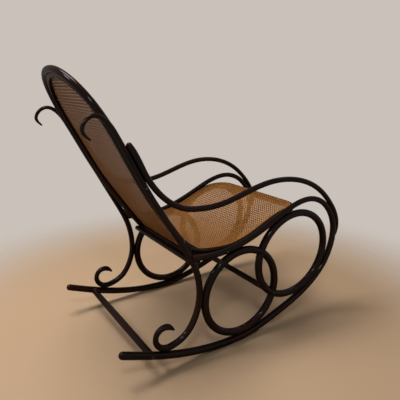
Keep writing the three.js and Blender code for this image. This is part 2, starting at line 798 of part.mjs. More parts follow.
// Rods of one side
const tippedPost = withTip(withTip(postFrames, true), false);
const rodCore = {
  rocker_rod: rodSolid(withTip(rockerFrames, false), false),
  post_rod: rodSolid(tippedPost, false),
  arm_rod: rodSolid(armFrames, false),
  lower_ring: rodSolid(ringFrames, true),
  front_oval: rodSolid(ovalFrames, true),
};

// Coped end of the curl, and flush half laps where ring and oval cross
rodCore.rocker_rod = rodCore.rocker_rod.subtract(rodSolid(tippedPost, false, seatGap));
const everywhere = frameLength + frameHeight;
const innerHalf = boxSolid(
  new THREE.Vector3(-everywhere, -everywhere, -everywhere),
  new THREE.Vector3(everywhere, sidePlane + seatGap / 2, everywhere),
);
const outerHalf = boxSolid(
  new THREE.Vector3(-everywhere, sidePlane - seatGap / 2, -everywhere),
  new THREE.Vector3(everywhere, everywhere, everywhere),
);
const ringGrown = rodSolid(ringFrames, true, seatGap);
const ovalGrown = rodSolid(ovalFrames, true, seatGap);
rodCore.lower_ring = rodCore.lower_ring.subtract(ovalGrown.intersect(innerHalf));
rodCore.front_oval = rodCore.front_oval.subtract(ringGrown.intersect(outerHalf));

// The chair stands on a narrow flat along each rocker
const lowestCentre = Math.min(...rockerFrames.map(({ centre, radius }) => centre.z - radius));
const floorLevel = lowestCentre + restFlatDepth;
rodCore.rocker_rod = rodCore.rocker_rod.subtract(boxSolid(
  new THREE.Vector3(-everywhere, -everywhere, floorLevel - everywhere),
  new THREE.Vector3(everywhere, everywhere, floorLevel),
));

// Where ring and oval cross, as two places on their centre lines
const ringNearOval = ringFrames
  .map(({ centre }) => ({ centre, ...gapFromPoint(centre, 0, ovalFrames, true) }))
  .sort((a, b) => a.gap - b.gap);
const lowerCrossing = ringNearOval.filter(({ centre }) => centre.z < ringShape.z)[0].foot.clone();

// Stretchers: the rear one is tenoned into the rockers, the front one butts against the laps
const rearPlace = placeAtLength(rockerBend, rearStretcherShare * frameLength, 0, frontMost);
const rearSpot = rockerBend.point(rearPlace).setY(0);
const rearHalf = sidePlane - rockerBend.radius(rearPlace) - seatGap;
const frontHalf = sidePlane - ringDiameter / 2 - seatGap;
const [rearEnd, rearMiddle] = [rearStretcherDiameter / 2,
  rearStretcherDiameter / 2 * rearStretcherSwellShare];
const rearStretcher = turnedSolid([
  [0, -rearHalf - tenonLength], [tenonDiameter / 2, -rearHalf - tenonLength],
  [tenonDiameter / 2, -rearHalf], [rearEnd, -rearHalf], [rearMiddle, -rearHalf / 3],
  [rearMiddle, rearHalf / 3], [rearEnd, rearHalf], [tenonDiameter / 2, rearHalf],
  [tenonDiameter / 2, rearHalf + tenonLength], [0, rearHalf + tenonLength],
], rearSpot, LEFT, roundSides);
const mortiseStart = rearSpot.clone().setY(rearHalf - overrun);
const mortiseDepth = tenonLength + overrun + seatGap;
rodCore.rocker_rod = rodCore.rocker_rod.subtract(turnedSolid([
  [0, 0], [tenonDiameter / 2 + seatGap, 0], [tenonDiameter / 2 + seatGap, mortiseDepth],
  [0, mortiseDepth],
], mortiseStart, LEFT, roundSides));

// Screws: each has a countersunk head, and cuts its own hole in the two pieces that it joins
const sideScrews = [];
function addScrew(name, start, direction, length, joins) {
  sideScrews.push({ name, start, direction: direction.clone().normalize(), length, joins });
}

function screwProfile(length, grow) {
  const [head, shank] = [screwHeadDiameter / 2 + grow, screwShankDiameter / 2 + grow];
  const top = grow > 0 ? -overrun : 0;
  const rim = grow > 0 ? [[head, top], [head, 0]] : [[head, 0]];
  return [[0, top], ...rim, [shank, screwHeadDepth], [shank, length + grow], [0, length + grow]];
}

// A screw through one rod of a touching pair and most of the way through the other
function screwThrough(name, touch, joins) {
  const direction = touch.to.clone().sub(touch.from).setY(0);
  const start = touch.from.clone()
    .addScaledVector(direction.clone().normalize(), -touch.fromRadius);
  const length = 2 * touch.fromRadius + seatGap + 2 * touch.toRadius * screwReachShare;
  addScrew(name, start.setY(sidePlane), direction, length, joins);
}

function screwInward(name, start, length, joins) {
  addScrew(name, start, LEFT.clone().negate(), length, joins);
}

const scrollFrames = postFrames.filter(({ centre }) => centre.z < scrollTopShare * frameHeight);
screwThrough('scroll_screw', leastGap(scrollFrames, lowerRod, false), ['post_rod', 'rocker_rod']);
screwThrough('ring_foot_screw', leastGap(ringFrames, lowerRod, true), ['lower_ring', 'rocker_rod']);
screwThrough('ring_top_screw', leastGap(ringFrames, upperRod, true), ['lower_ring', 'rocker_rod']);
screwThrough('ring_leg_screw', leastGap(ringFrames, legFrames, true), ['lower_ring', 'post_rod']);
screwThrough('oval_top_screw', leastGap(ovalFrames, upperRod, true), ['front_oval', 'rocker_rod']);
screwThrough('oval_foot_screw', leastGap(ovalFrames, lowerRod, true), ['front_oval', 'rocker_rod']);

// Arm screws: through the thick part of each scarf into the post and into the curl
function scarfScrew(name, upShare, host, from, to, away, joins) {
  const u = placeAtHeight(host, upShare * frameHeight, from, to);
  const normal = sideNormal(directionOf(host, u)).multiplyScalar(away);
  const spot = host.point(u);
  const near = gapFromPoint(spot, host.radius(u), armFrames, false);
  const armCentre = near.foot.clone().setY(spot.y);
  const start = armCentre.clone().addScaledVector(normal, near.radius);
  const length = 2 * near.radius + seatGap + 2 * host.radius(u) * screwReachShare;
  addScrew(name, start, normal.clone().negate(), length, joins);
}
scarfScrew('arm_rear_screw', armRearScrewShare, postBend, postBend.places[hookCount - 1],
  postBend.places[legStart], 1, ['arm_rod', 'post_rod']);
scarfScrew('arm_front_screw', armFrontScrewShare, rockerBend,
  rockerBend.places[curlFootSteps], rockerBend.places[curlTopSteps], -1,
  ['arm_rod', 'rocker_rod']);

// Screws that run inward, across the chair
const limbScrewPlace = placeAtHeight(postBend, limbScrewShare * frameHeight,
  postBend.places[hookCount], postBend.places[legStart]);
const limbScrewRadius = postBend.radius(limbScrewPlace);
screwInward('limb_screw',
  postBend.point(limbScrewPlace).add(LEFT.clone().multiplyScalar(limbScrewRadius)),
  2 * limbScrewRadius + seatGap + backBeadDiameter * screwReachShare, ['post_rod', 'back_frame']);

const railScrewSpot = seatBend.point(seatBend.places[1]);
screwInward('seat_rear_screw',
  railScrewSpot.clone().setY(seatRearLine + seatRailWidth / 2),
  seatRailWidth + seatGap + backBeadDiameter * screwReachShare, ['seat_frame', 'back_frame']);

const ringTop = leastGap(ringFrames, upperRod, true).from;
const curlScrewPlace = placeAtLength(rockerBend, ringTop.x - seatScrewSpacing, frontMost,
  rockerBend.reach);
screwInward('seat_side_screw',
  rockerBend.point(curlScrewPlace).setY(sidePlane + rockerBend.radius(curlScrewPlace)),
  2 * curlRadius + seatGap + seatRailWidth * screwReachShare, ['rocker_rod', 'seat_frame']);

screwInward('front_stretcher_screw',
  lowerCrossing.clone().setY(sidePlane + ringDiameter / 2),
  ringDiameter + seatGap + stretcherScrewReach, ['lower_ring', 'front_oval', 'front_stretcher']);
screwInward('rear_stretcher_screw',
  rearSpot.clone().setY(sidePlane + rockerBend.radius(rearPlace)),
  rockerDiameter + stretcherScrewReach, ['rocker_rod', 'rear_stretcher']);

// The chair in its own frame: middle of its length at x = 0 and the rest flats at z = 0
const chair = new THREE.Group();
const solids = [];

function mirroredSolid(solid, side) {
  return side > 0 ? solid : solid.mirror([0, 1, 0]);
}

const middlePieces = {
  back_frame: railSolid(backFrames, backOutline),
  back_bottom_rail: crossRail(bottomRailCentre, bandInner - seatGap, backBottomRailDiameter / 2,
    false),
  lower_cross_rail: crossRail(lowerRailCentre, limbOuter - lowerCrossRailShort,
    lowerCrossRailDiameter / 2, true),
  seat_frame: railSolid(seatFrames, seatOutline),
  seat_rear_rail: crossRail(rearRailCentre, seatRearLine - seatRailWidth / 2 - seatGap,
    seatRearRailDiameter / 2, false),
  rear_stretcher: rearStretcher,
  front_stretcher: crossRail(lowerCrossing.clone().setY(0), frontHalf,
    frontStretcherDiameter / 2, false),
  back_cane: backCane,
  seat_cane: seatCane,
};

[['left', 1], ['right', -1]].forEach(([sideName, side]) => {
  sideScrews.forEach((screw) => {
    const cutter = mirroredSolid(turnedSolid(screwProfile(screw.length, seatGap), screw.start,
      screw.direction, screwSides), side);
    screw.joins.forEach((piece) => {
      if (middlePieces[piece]) middlePieces[piece] = middlePieces[piece].subtract(cutter);
    });
    solids.push([`${screw.name}_${sideName}`, mirroredSolid(turnedSolid(
      screwProfile(screw.length, 0), screw.start, screw.direction, screwSides), side), steel]);
  });
  Object.entries(rodCore).forEach(([name, core]) => {
    let solid = core;
    sideScrews.filter(({ joins }) => joins.includes(name)).forEach((screw) => {
      solid = solid.subtract(turnedSolid(screwProfile(screw.length, seatGap), screw.start,
        screw.direction, screwSides));
    });
    solids.push([`${name}_${sideName}`, mirroredSolid(solid, side), beech]);
  });
});
Object.entries(middlePieces).forEach(([name, solid]) => {
  solids.push([name, solid, name.endsWith('cane') ? cane : beech]);
});

const wholeBox = new THREE.Box3();
let triangles = 0;
const meshes = solids.map(([name, solid, finish]) => {
  const geometry = geometryOf(solid);
  geometry.computeBoundingBox();
  wholeBox.union(geometry.boundingBox);
  triangles += geometry.index.count / 3;
  const mesh = new THREE.Mesh(geometry, new THREE.MeshStandardMaterial(finish));
  mesh.name = name;
  return mesh;
});
const middle = wholeBox.getCenter(new THREE.Vector3());
meshes.forEach((mesh) => {
  mesh.position.set(-middle.x, 0, -floorLevel);
  chair.add(mesh);
});

const size = wholeBox.getSize(new THREE.Vector3());
console.log(`size ${size.x.toFixed(1)} x ${size.y.toFixed(1)} x ${size.z.toFixed(1)} mm`);
console.log(`triangles ${triangles}, scroll drop ${scrollDrop.toFixed(2)} mm`);
console.log(`ring ${(2 * ringShape.long).toFixed(1)} x ${(2 * ringShape.tall).toFixed(1)}`);
console.log(`oval ${(2 * ovalShape.long).toFixed(1)} x ${(2 * ovalShape.tall).toFixed(1)}`);

export default chair;
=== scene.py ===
# %% [markdown]
# # A bentwood rocking chair
# The real chair is a drawing made of round rods. Each side has one long rod that is rocker and
# curl, a post with a hook above and a scroll below, an arm, a ring and an oval. Between the sides
# stand a hairpin back and a U-shaped seat, both with woven cane. The measured solids come in
# first. Every piece below is then built in their place, so nothing has to be fitted by eye.

# %% Measured solids
import math

import bmesh
import bpy
import numpy as np
from mathutils import Matrix, Vector


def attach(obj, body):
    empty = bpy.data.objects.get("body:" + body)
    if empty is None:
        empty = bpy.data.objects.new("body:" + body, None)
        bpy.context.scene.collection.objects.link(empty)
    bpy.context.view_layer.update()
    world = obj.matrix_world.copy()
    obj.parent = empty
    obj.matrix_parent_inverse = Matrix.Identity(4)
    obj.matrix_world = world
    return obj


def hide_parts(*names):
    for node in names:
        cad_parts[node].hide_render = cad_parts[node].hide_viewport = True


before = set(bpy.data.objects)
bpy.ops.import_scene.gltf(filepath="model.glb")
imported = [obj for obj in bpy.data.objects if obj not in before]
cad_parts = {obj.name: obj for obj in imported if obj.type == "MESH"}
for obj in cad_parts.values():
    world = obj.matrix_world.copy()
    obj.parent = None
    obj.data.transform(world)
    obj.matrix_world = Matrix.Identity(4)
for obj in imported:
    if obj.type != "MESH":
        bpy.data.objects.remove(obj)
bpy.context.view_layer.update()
bpy.ops.object.select_all(action="DESELECT")

# %% [markdown]
# ## Camera
# The chair is seen from behind its right side, from a little under the top of its back. A camera
# could be aimed by a constraint, but a plain location and two turns are easier to read and to
# repeat.

# %% Camera
EYE = (-0.8354, -1.2657, 0.8952)
LOOK_DOWN = math.radians(15.63)
LOOK_FORWARD = math.radians(33.85)
SENSOR_WIDTH, LENS = 36, 36.9
bpy.ops.object.camera_add(location=EYE, rotation=(math.pi / 2 - LOOK_DOWN, 0, -LOOK_FORWARD))
camera = bpy.context.object
camera.data.sensor_width, camera.data.lens = SENSOR_WIDTH, LENS
bpy.context.scene.camera = camera
bpy.context.scene.view_settings.view_transform = "Standard"
print("camera", LENS, "mm lens")

# %% [markdown]
# ## Shader sums
# Colours and bumps below are written as sums on sockets, which is shorter than wiring nodes one by
# one. A small class wraps a socket, and each sign adds one Math node. Every other node comes from
# one method of the finish that it belongs to.

# %% Sockets that can be added and multiplied
class Signal:
    def __init__(self, finish, socket):
        self.finish = finish
        self.socket = socket

    def sum(self, operation, first, second):
        return self.finish.node("ShaderNodeMath", {"operation": operation}, {0: first, 1: second})

    def __add__(self, other):
        return self.sum("ADD", self, other)

    def __radd__(self, other):
        return self.sum("ADD", other, self)

    def __sub__(self, other):
        return self.sum("SUBTRACT", self, other)

    def __rsub__(self, other):
        return self.sum("SUBTRACT", other, self)

    def __mul__(self, other):
        return self.sum("MULTIPLY", self, other)

    def __rmul__(self, other):
        return self.sum("MULTIPLY", other, self)


# %% A finish: a node tree and what fills it
class Finish:
    def __init__(self, owner):
        self.owner = owner
        owner.use_nodes = True
        self.tree = owner.node_tree
        self.tree.nodes.clear()

    def node(self, kind, settings=None, inputs=None, output=0):
        made = self.tree.nodes.new(kind)
        for key, value in (settings or {}).items():
            setattr(made, key, value)
        for key, value in (inputs or {}).items():
            if isinstance(value, Signal):
                self.tree.links.new(value.socket, made.inputs[key])
            else:
                made.inputs[key].default_value = value
        return Signal(self, made.outputs[output]) if made.outputs else None

    def place(self):
        return self.node("ShaderNodeTexCoord", output="Object")

    def mark(self, name):
        return self.node("ShaderNodeAttribute", {"attribute_name": name}, output="Vector")

    def part(self, vector, axis):
        return self.node("ShaderNodeSeparateXYZ", inputs={"Vector": vector}, output=axis)

    def blend(self, factor, first, second):
        # On a Mix node set to colours, sockets 6 and 7 are the colours, and output 2 is theirs.
        inputs = {0: factor, 6: first, 7: second}
        return self.node("ShaderNodeMix", {"data_type": "RGBA"}, inputs, output=2)

    def noise(self, vector, scale, detail, roughness):
        """Noise, finer with a larger scale. Three scales draw it out along the smallest."""
        if isinstance(scale, tuple):
            vector = self.node("ShaderNodeMapping", None, {"Vector": vector, "Scale": scale})
            scale = 1.0
        inputs = {"Vector": vector, "Scale": scale, "Detail": detail, "Roughness": roughness}
        return self.node("ShaderNodeTexNoise", None, inputs)

    def soft_step(self, value, low, high):
        inputs = {"Value": value, "From Min": low, "From Max": high}
        return self.node("ShaderNodeMapRange", {"interpolation_type": "SMOOTHSTEP"}, inputs)

    def bump(self, height, distance, strength):
        inputs = {"Height": height, "Distance": distance, "Strength": strength}
        return self.node("ShaderNodeBump", None, inputs)

    def show(self, shader, output="ShaderNodeOutputMaterial"):
        self.node(output, None, {"Surface": shader})
        return self.owner

    def surface(self, inputs):
        return self.show(self.node("ShaderNodeBsdfPrincipled", None, inputs))


def tint(red, green, blue):
    """A colour as a paint card gives it, 0 to 255, turned into the light that a shader needs."""
    shares = [level / 255 for level in (red, green, blue)]
    return (*[s / 12.92 if s <= 0.04045 else ((s + 0.055) / 1.055) ** 2.4 for s in shares], 1)


# %% [markdown]
# ## Floor and light
# The chair stands on a plain pale floor that fades into a pale background. The fade could be a bent
# backdrop, but that has a direction, and the chair is looked at from all sides. So the floor is a
# wide disc that turns see-through towards its rim. The background shows to the camera and in
# polish, and gives only a weak warm light. A wide soft lamp overhead does most of the work, two
# smaller ones draw the highlights along the rods, and a weak one in front opens the shadows.

# %% Background and floor
BACKGROUND = tint(202, 194, 186)
AMBIENT, AMBIENT_LEVEL = tint(240, 224, 200), 0.075
FLOOR_PAINT = tint(212, 180, 145)
FLOOR_RADIUS, FLOOR_SIDES = 3.0, 96
FLOOR_FADES = (0.72, 1.55)

room = Finish(bpy.data.worlds.new("pale_background"))
bpy.context.scene.world = room.owner
seen = room.node("ShaderNodeLightPath", output="Is Camera Ray")
for ray in ("Is Glossy Ray", "Is Transmission Ray"):
    also_seen = room.node("ShaderNodeLightPath", output=ray)
    seen = room.node("ShaderNodeMath", {"operation": "MAXIMUM"}, {0: seen, 1: also_seen})
ambient = room.node("ShaderNodeBackground", None, {"Color": AMBIENT, "Strength": AMBIENT_LEVEL})
backdrop = room.node("ShaderNodeBackground", None, {"Color": BACKGROUND})
room.show(room.node("ShaderNodeMixShader", None, {0: seen, 1: ambient, 2: backdrop}),
          "ShaderNodeOutputWorld")

floor_finish = Finish(bpy.data.materials.new("pale_floor"))
floor_reach = floor_finish.node("ShaderNodeVectorMath", {"operation": "LENGTH"},
                                {0: floor_finish.place()}, output="Value")
floor_paint = floor_finish.node("ShaderNodeBsdfPrincipled", None, {
    "Base Color": FLOOR_PAINT, "Roughness": 0.55, "Specular IOR Level": 0.3})
floor_clear = floor_finish.node("ShaderNodeBsdfTransparent")
floor_fade = floor_finish.soft_step(floor_reach, *FLOOR_FADES)
floor_finish.show(floor_finish.node("ShaderNodeMixShader", None, {
    0: floor_fade, 1: floor_paint, 2: floor_clear}))
bpy.ops.mesh.primitive_circle_add(vertices=FLOOR_SIDES, radius=FLOOR_RADIUS, fill_type="NGON")
floor = bpy.context.object
floor.name = "floor"
floor.data.materials.append(floor_finish.owner)
print("floor radius", FLOOR_RADIUS, "m")

# %% Lamps: name, place, size, power and colour
LAMPS_AIM_AT = Vector((0, 0, 0.4))
LAMPS = [
    ("top_lamp", (-0.7, 0.5, 2.85), 1.2, 46, tint(255, 249, 244)),
    ("left_lamp", (-2.15, 0.5, 2.45), 0.6, 18, tint(248, 250, 255)),
    ("near_lamp", (-1.1, -1.7, 2.4), 0.3, 11, tint(240, 246, 255)),
    ("front_lamp", (1.8, 0.2, 2.25), 0.6, 3, tint(255, 240, 240)),
]
for lamp_name, lamp_place, lamp_size, lamp_power, lamp_colour in LAMPS:
    bpy.ops.object.light_add(type="AREA", location=lamp_place)
    lamp = bpy.context.object
    lamp.name = lamp_name
    lamp.data.size = lamp_size
    lamp.data.energy = lamp_power
    lamp.data.color = lamp_colour[:3]
    aim = LAMPS_AIM_AT - Vector(lamp_place)
    lamp.rotation_euler = aim.to_track_quat("-Z", "Y").to_euler()
    print(lamp_name, lamp_power, "W")

# %% [markdown]
# ## Stained and polished beech
# The rods are beech, stained nearly black and polished by hand. The stain sinks in more on some
# streaks than on others, so under a lamp the black turns into a warm brown, and hands and floors
# have rubbed some places paler. A picture of wood would slide on a bent rod. So each rod carries
# its own straight measure, the length along it and the two ways across, from before it was bent,
# and the streaks are noise that is drawn out along that measure.

# %% Beech finish
STAIN_DARK, STAIN_WARM, STAIN_FLECK = tint(7, 3, 2), tint(50, 20, 11), tint(50, 27, 21)
RUBBED, TRODDEN = tint(88, 52, 36), tint(112, 84, 64)
STREAKS_DRAWN, PORES_DRAWN, FLECKS_DRAWN = (7, 210, 210), (60, 1500, 1500), (150, 620, 620)
TREAD_HEIGHTS = (0.002, 0.012)


def make_stained_beech():
    finish = Finish(bpy.data.materials.new("polished_dark_beech"))
    grain, place = finish.mark("grain"), finish.place()
    streaks = finish.noise(grain, STREAKS_DRAWN, 4.0, 0.62)
    pores = finish.noise(grain, PORES_DRAWN, 2.0, 0.5)
    flecks = finish.noise(grain, FLECKS_DRAWN, 1.0, 0.5)
    clouds = finish.noise(place, 7.0, 2.0, 0.5)
    rubs = finish.noise(place, 26.0, 4.0, 0.7)
    streak = finish.soft_step(streaks, 0.38, 0.70)
    warm = streak * 0.55 + finish.soft_step(clouds, 0.35, 0.72) * 0.45
    stain = finish.blend(warm, STAIN_DARK, STAIN_WARM)
    stain = finish.blend(finish.soft_step(flecks, 0.60, 0.72) * 0.3, stain, STAIN_FLECK)
    scuffs = finish.soft_step(rubs, 0.60, 0.78)
    low = 1 - finish.soft_step(finish.part(place, "Z"), *TREAD_HEIGHTS)
    treads = low * finish.soft_step(rubs, 0.40, 0.62)
    worn = finish.blend(scuffs * 0.20, stain, RUBBED)
    worn = finish.blend(treads * 0.75, worn, TRODDEN)
    return finish.surface({
        "Base Color": worn,
        "Roughness": 0.30 + clouds * 0.10 + scuffs * 0.12 + treads * 0.2,
        "Specular IOR Level": 0.0,
        "Coat Weight": 0.25 - scuffs * 0.15,
        "Coat Roughness": 0.11,
        "Normal": finish.bump(pores * 0.35 + streaks * 0.65, 0.0004, 0.35),
    })


stained_beech = make_stained_beech()
print("finish", stained_beech.name)

# %% [markdown]
# ## Cane
# Cane is the skin of rattan, split into flat strands with a hard shiny face and a dull back. It
# goes from straw to honey brown with age. Each strand was cut from another place on the plant, so
# each has its own tone, and it has fine fibres along it and a darker ring now and then, where a
# leaf grew. Both edges of each strand are also painted darker. This is painted shade where its
# sides turn down into the holes. The strands below carry a measure of their own: length, width and
# tone.

# %% Cane finish
FIBRES_DRAWN, LENGTHS_DRAWN = (26, 5.5, 37), (9, 0.1, 91)


def darker_tone_and_edge_shade(colour, share):
    """The same colour, darker: for the cane's own tones and for painted shade at strand edges."""
    return (*[level * share for level in colour[:3]], 1)


def make_woven_cane(name, dull, bright):
    finish = Finish(bpy.data.materials.new(name))
    strand = finish.mark("strand")
    side, tone = finish.part(strand, "Y"), finish.part(strand, "Z")
    fibres = finish.noise(strand, FIBRES_DRAWN, 3.0, 0.6)
    lengths = finish.noise(strand, LENGTHS_DRAWN, 2.0, 0.5)
    clouds = finish.noise(finish.place(), 8.0, 2.0, 0.5)
    honey = finish.blend(tone, dull, bright)
    # Fibres, rings where a leaf grew, and clouds are the cane's own darker tones. The last mask is
    # painted shade: it darkens both edges of each strand, where its sides turn down into the holes.
    for mask, share in ((finish.soft_step(fibres, 0.36, 0.70) * 0.55, 0.62),
                        (finish.soft_step(lengths, 0.56, 0.80) * 0.6, 0.40),
                        (finish.soft_step(clouds, 0.40, 0.75) * 0.30, 0.56),
                        (finish.soft_step(side * side, 0.30, 1.0) * 0.75, 0.12)):
        honey = finish.blend(mask, honey, darker_tone_and_edge_shade(dull, share))
    return finish.surface({
        "Base Color": honey,
        "Roughness": 0.42 + fibres * 0.18,
        "Specular IOR Level": 0.2,
        "Normal": finish.bump(fibres, 0.0002, 0.4),
    })


woven_cane = make_woven_cane("honey_cane", tint(150, 92, 34), tint(189, 131, 56))
stained_cane = make_woven_cane("cane_stained_with_the_frame", tint(58, 36, 22), tint(84, 56, 34))
print("finishes", woven_cane.name, "and", stained_cane.name)

# %% [markdown]
# ## Screws
# The rods are held by slotted iron screws that have gone dull and brown. Bare metal and rust are
# two finishes in one, so one mask steers the colour, the gloss and how metallic each spot is.

# %% Screw finish
IRON, RUST = tint(84, 76, 68), tint(58, 40, 30)


def make_screw_steel():
    finish = Finish(bpy.data.materials.new("dull_iron"))
    spots = finish.noise(finish.place(), 420.0, 4.0, 0.6)
    rust = finish.soft_step(spots, 0.48, 0.66)
    return finish.surface({
        "Base Color": finish.blend(rust, IRON, RUST),
        "Roughness": 0.42 + rust * 0.3,
        "Metallic": 1 - rust * 0.6,
        "Normal": finish.bump(spots, 0.0002, 0.4),
    })


screw_steel = make_screw_steel()
print("finish", screw_steel.name)

# %% [markdown]
# ## Bends
# A steamed rod is pulled round an iron form and takes the shape that a springy rod takes: its
# curvature changes smoothly. That shape is a natural cubic through a few stations. How thick the
# rod is, and how far it stands out to the side, must never swing past a station, so these use a
# steadier cubic. Stations are shares of the side frame's length and height, as on a drawing.

# %% Natural and steady cubics
FRAME_LENGTH = 0.970
FRAME_HEIGHT = 0.950
SIDE_PLANE = 0.260
START_X = -0.452593
START_Z = 0.001719


def span_of(places, u):
    return np.clip(np.searchsorted(places, u, side="right") - 1, 0, len(places) - 2)


def natural_cubic(places, values):
    width = np.diff(places)
    rise = np.diff(values) / width
    system, load = np.eye(len(places)), np.zeros(len(places))
    for i in range(1, len(places) - 1):
        system[i, i - 1:i + 2] = width[i - 1], 2 * (width[i - 1] + width[i]), width[i]
        load[i] = 6 * (rise[i] - rise[i - 1])
    curve = np.linalg.solve(system, load)

    def value_at(u):
        i = span_of(places, u)
        a = (places[i + 1] - u) / width[i]
        b = 1 - a
        bow = (a ** 3 - a) * curve[i] + (b ** 3 - b) * curve[i + 1]
        return a * values[i] + b * values[i + 1] + bow * width[i] ** 2 / 6
    return value_at


def steady_cubic(places, values):
    width = np.diff(places)
    rise = np.diff(values) / width
    same = rise[:-1] * rise[1:] > 0
    middle = 2 * rise[:-1] * rise[1:] / np.where(same, rise[:-1] + rise[1:], 1)
    slope = np.concatenate([rise[:1], np.where(same, middle, 0), rise[-1:]])

    def value_at(u):
        i = span_of(places, u)
        t = np.clip((u - places[i]) / width[i], 0, 1)
        step = values[i + 1] - values[i]
        hold, land = slope[i] * width[i], slope[i + 1] * width[i]
        bow = t * (3 * step - 2 * hold - land + t * (hold + land - 2 * step))
        return values[i] + t * (hold + bow)
    return value_at


# %% A bend through stations
HALVINGS = 50
BEND_SAMPLES, BEND_STEPS = 1501, 2000
CHORD_SAG = 0.00005
LONGEST_CHORD = 0.018


def unit(vectors):
    return vectors / np.linalg.norm(vectors, axis=-1, keepdims=True)


def turning_point(start, end, before):
    """The place between two places where a test stops being true, found by halving."""
    for _ in range(HALVINGS):
        middle = (start + end) / 2
        if before(middle):
            start = middle
        else:
            end = middle
    return (start + end) / 2


class Bend:
    """A bent rod's centre line, with stations of x, y, z and radius in metres."""

    def __init__(self, stations):
        x, y, z, radius = np.array(stations, float).T
        self.places = np.concatenate([[0], np.cumsum(np.hypot(np.diff(x), np.diff(z)))])
        self.reach = self.places[-1]
        self.x, self.z = natural_cubic(self.places, x), natural_cubic(self.places, z)
        self.y, self.thick = steady_cubic(self.places, y), steady_cubic(self.places, radius)

    def point(self, u):
        return np.stack([self.x(u), self.y(u), self.z(u)], -1)

    def radius(self, u):
        return self.thick(np.clip(u, 0, self.reach))

    def direction(self, u):
        step = self.reach / BEND_STEPS
        ahead, behind = np.minimum(u + step, self.reach), np.maximum(u - step, 0)
        return unit(self.point(ahead) - self.point(behind))

    def side_normal(self, u):
        return unit(np.cross(self.direction(u), (0, 1, 0)))

    def place_at(self, axis, level, start, end):
        """The place where x (axis 0) or z (axis 2) passes a level, between two places."""
        growing = self.point(end)[axis] > self.point(start)[axis]
        return turning_point(start, end, lambda u: (self.point(u)[axis] < level) == growing)

    def steps(self):
        """Places close together where the bend is tight, so that its chords hug it."""
        u = np.linspace(0, self.reach, BEND_SAMPLES)
        way = self.direction(u)
        turn = np.arccos(np.clip((way[1:] * way[:-1]).sum(1), -1, 1)) / np.diff(u)
        density = np.sqrt(turn / (8 * CHORD_SAG)) + 1 / LONGEST_CHORD
        total = np.concatenate([[0], np.cumsum(density * np.diff(u))])
        return np.interp(np.linspace(0, total[-1], math.ceil(total[-1]) + 1), total, u)


def stations_from(shares, diameter, out=0.0):
    """Rows of length share, height share and thickness share as stations in metres."""
    return [[START_X + along * FRAME_LENGTH, out, START_Z + up * FRAME_HEIGHT,
             (thick[0] if thick else 1) * diameter / 2] for along, up, *thick in shares]


# %% [markdown]
# ## Back and seat lines
# The back leans and bows like an S, and the seat falls to the rear and rises to the front. Both are
# flat across, so one line in side view gives each of them.

# %% Back and seat lines
BACK_BEAD = 0.022
BACK_WIDTH = 0.036
BACK_ARCH = 0.202
BACK_FLARE = 0.007
SEAT_RAIL = (0.022, 0.026)
LIMB_OUTER = SIDE_PLANE * 0.815
LIMB_LINE = LIMB_OUTER - BACK_WIDTH / 2
back_bend = Bend(stations_from([
    (0.330, 0.342), (0.254, 0.446), (0.205, 0.519), (0.158, 0.591), (0.110, 0.680),
    (0.047, 0.804), (-0.003, 0.897), (-0.062, 0.998)], BACK_BEAD))
seat_bend = Bend(stations_from([
    (0.263, 0.429), (0.284, 0.404), (0.323, 0.384), (0.387, 0.376), (0.460, 0.379),
    (0.529, 0.396), (0.625, 0.437), (0.698, 0.463), (0.776, 0.472)], SEAT_RAIL[1]))
arch_start = back_bend.reach - BACK_ARCH - BACK_WIDTH / 2


def flare_at(u):
    return BACK_FLARE * (u / arch_start) ** 2


print("back", round(back_bend.reach, 3), "m and seat", round(seat_bend.reach, 3), "m long")

# %% [markdown]
# ## Rods of one side
# The post starts as the hook, runs beside the back's limb, leans out to the side frame and ends as
# the scroll on the rocker. The rocker sweeps up into the curl, runs back over the ring, and stops
# against the post. Rods that touch do so with no play, which fixes how far the scroll stands up and
# how far the arm lies from the rods that it is glued to.

# %% Post and rocker
TOUCH = 0.0001
POST = 0.022
ROCKER = 0.026
SCROLL_RISE = 0.00591
HOOK_SPREAD = 0.020
LEG_SPREAD_SHARES = (0.16, 0.58, 0.88, 1, 1, 1)
CURL_END_HEIGHT = 0.386
hook = stations_from([
    (-0.036, 0.800, 0.26), (-0.053, 0.823, 0.48), (-0.041, 0.851, 0.52), (-0.013, 0.863, 0.55),
    (0.015, 0.849, 0.62)], POST)
leg = stations_from([
    (0.183, 0.544, 0.88), (0.243, 0.436, 0.94), (0.280, 0.359, 1.00), (0.297, 0.287, 1.00),
    (0.297, 0.220, 1.00), (0.278, 0.159, 1.00)], POST)
scroll = stations_from([
    (0.245, 0.110, 1.00), (0.201, 0.084, 1.00), (0.160, 0.082, 0.98), (0.134, 0.103, 0.92),
    (0.130, 0.136, 0.82), (0.148, 0.157, 0.88), (0.174, 0.158, 0.92), (0.196, 0.140, 0.34)],
    POST, SIDE_PLANE)
beside = []
for up, thick in [(0.800, 0.68), (0.740, 0.73), (0.670, 0.78), (0.605, 0.82)]:
    height = START_Z + up * FRAME_HEIGHT
    u = back_bend.place_at(2, height, 0, back_bend.reach)
    radius = thick * POST / 2
    beside.append([back_bend.x(u), LIMB_OUTER + flare_at(u) + TOUCH + radius, height, radius])
for i, station in enumerate(hook):
    station[1] = beside[0][1] + HOOK_SPREAD * (1 - i / len(hook))
for station, share in zip(leg, LEG_SPREAD_SHARES):
    station[1] = SIDE_PLANE - (1 - share) * (SIDE_PLANE - beside[-1][1])
for i, station in enumerate(scroll):
    station[2] += SCROLL_RISE / 2 if i == 0 else SCROLL_RISE
post_bend = Bend(hook + beside + leg + scroll)
leg_first = len(hook + beside)
hook_end, leg_from, leg_to = post_bend.places[[len(hook) - 1, leg_first, leg_first + len(leg) - 1]]

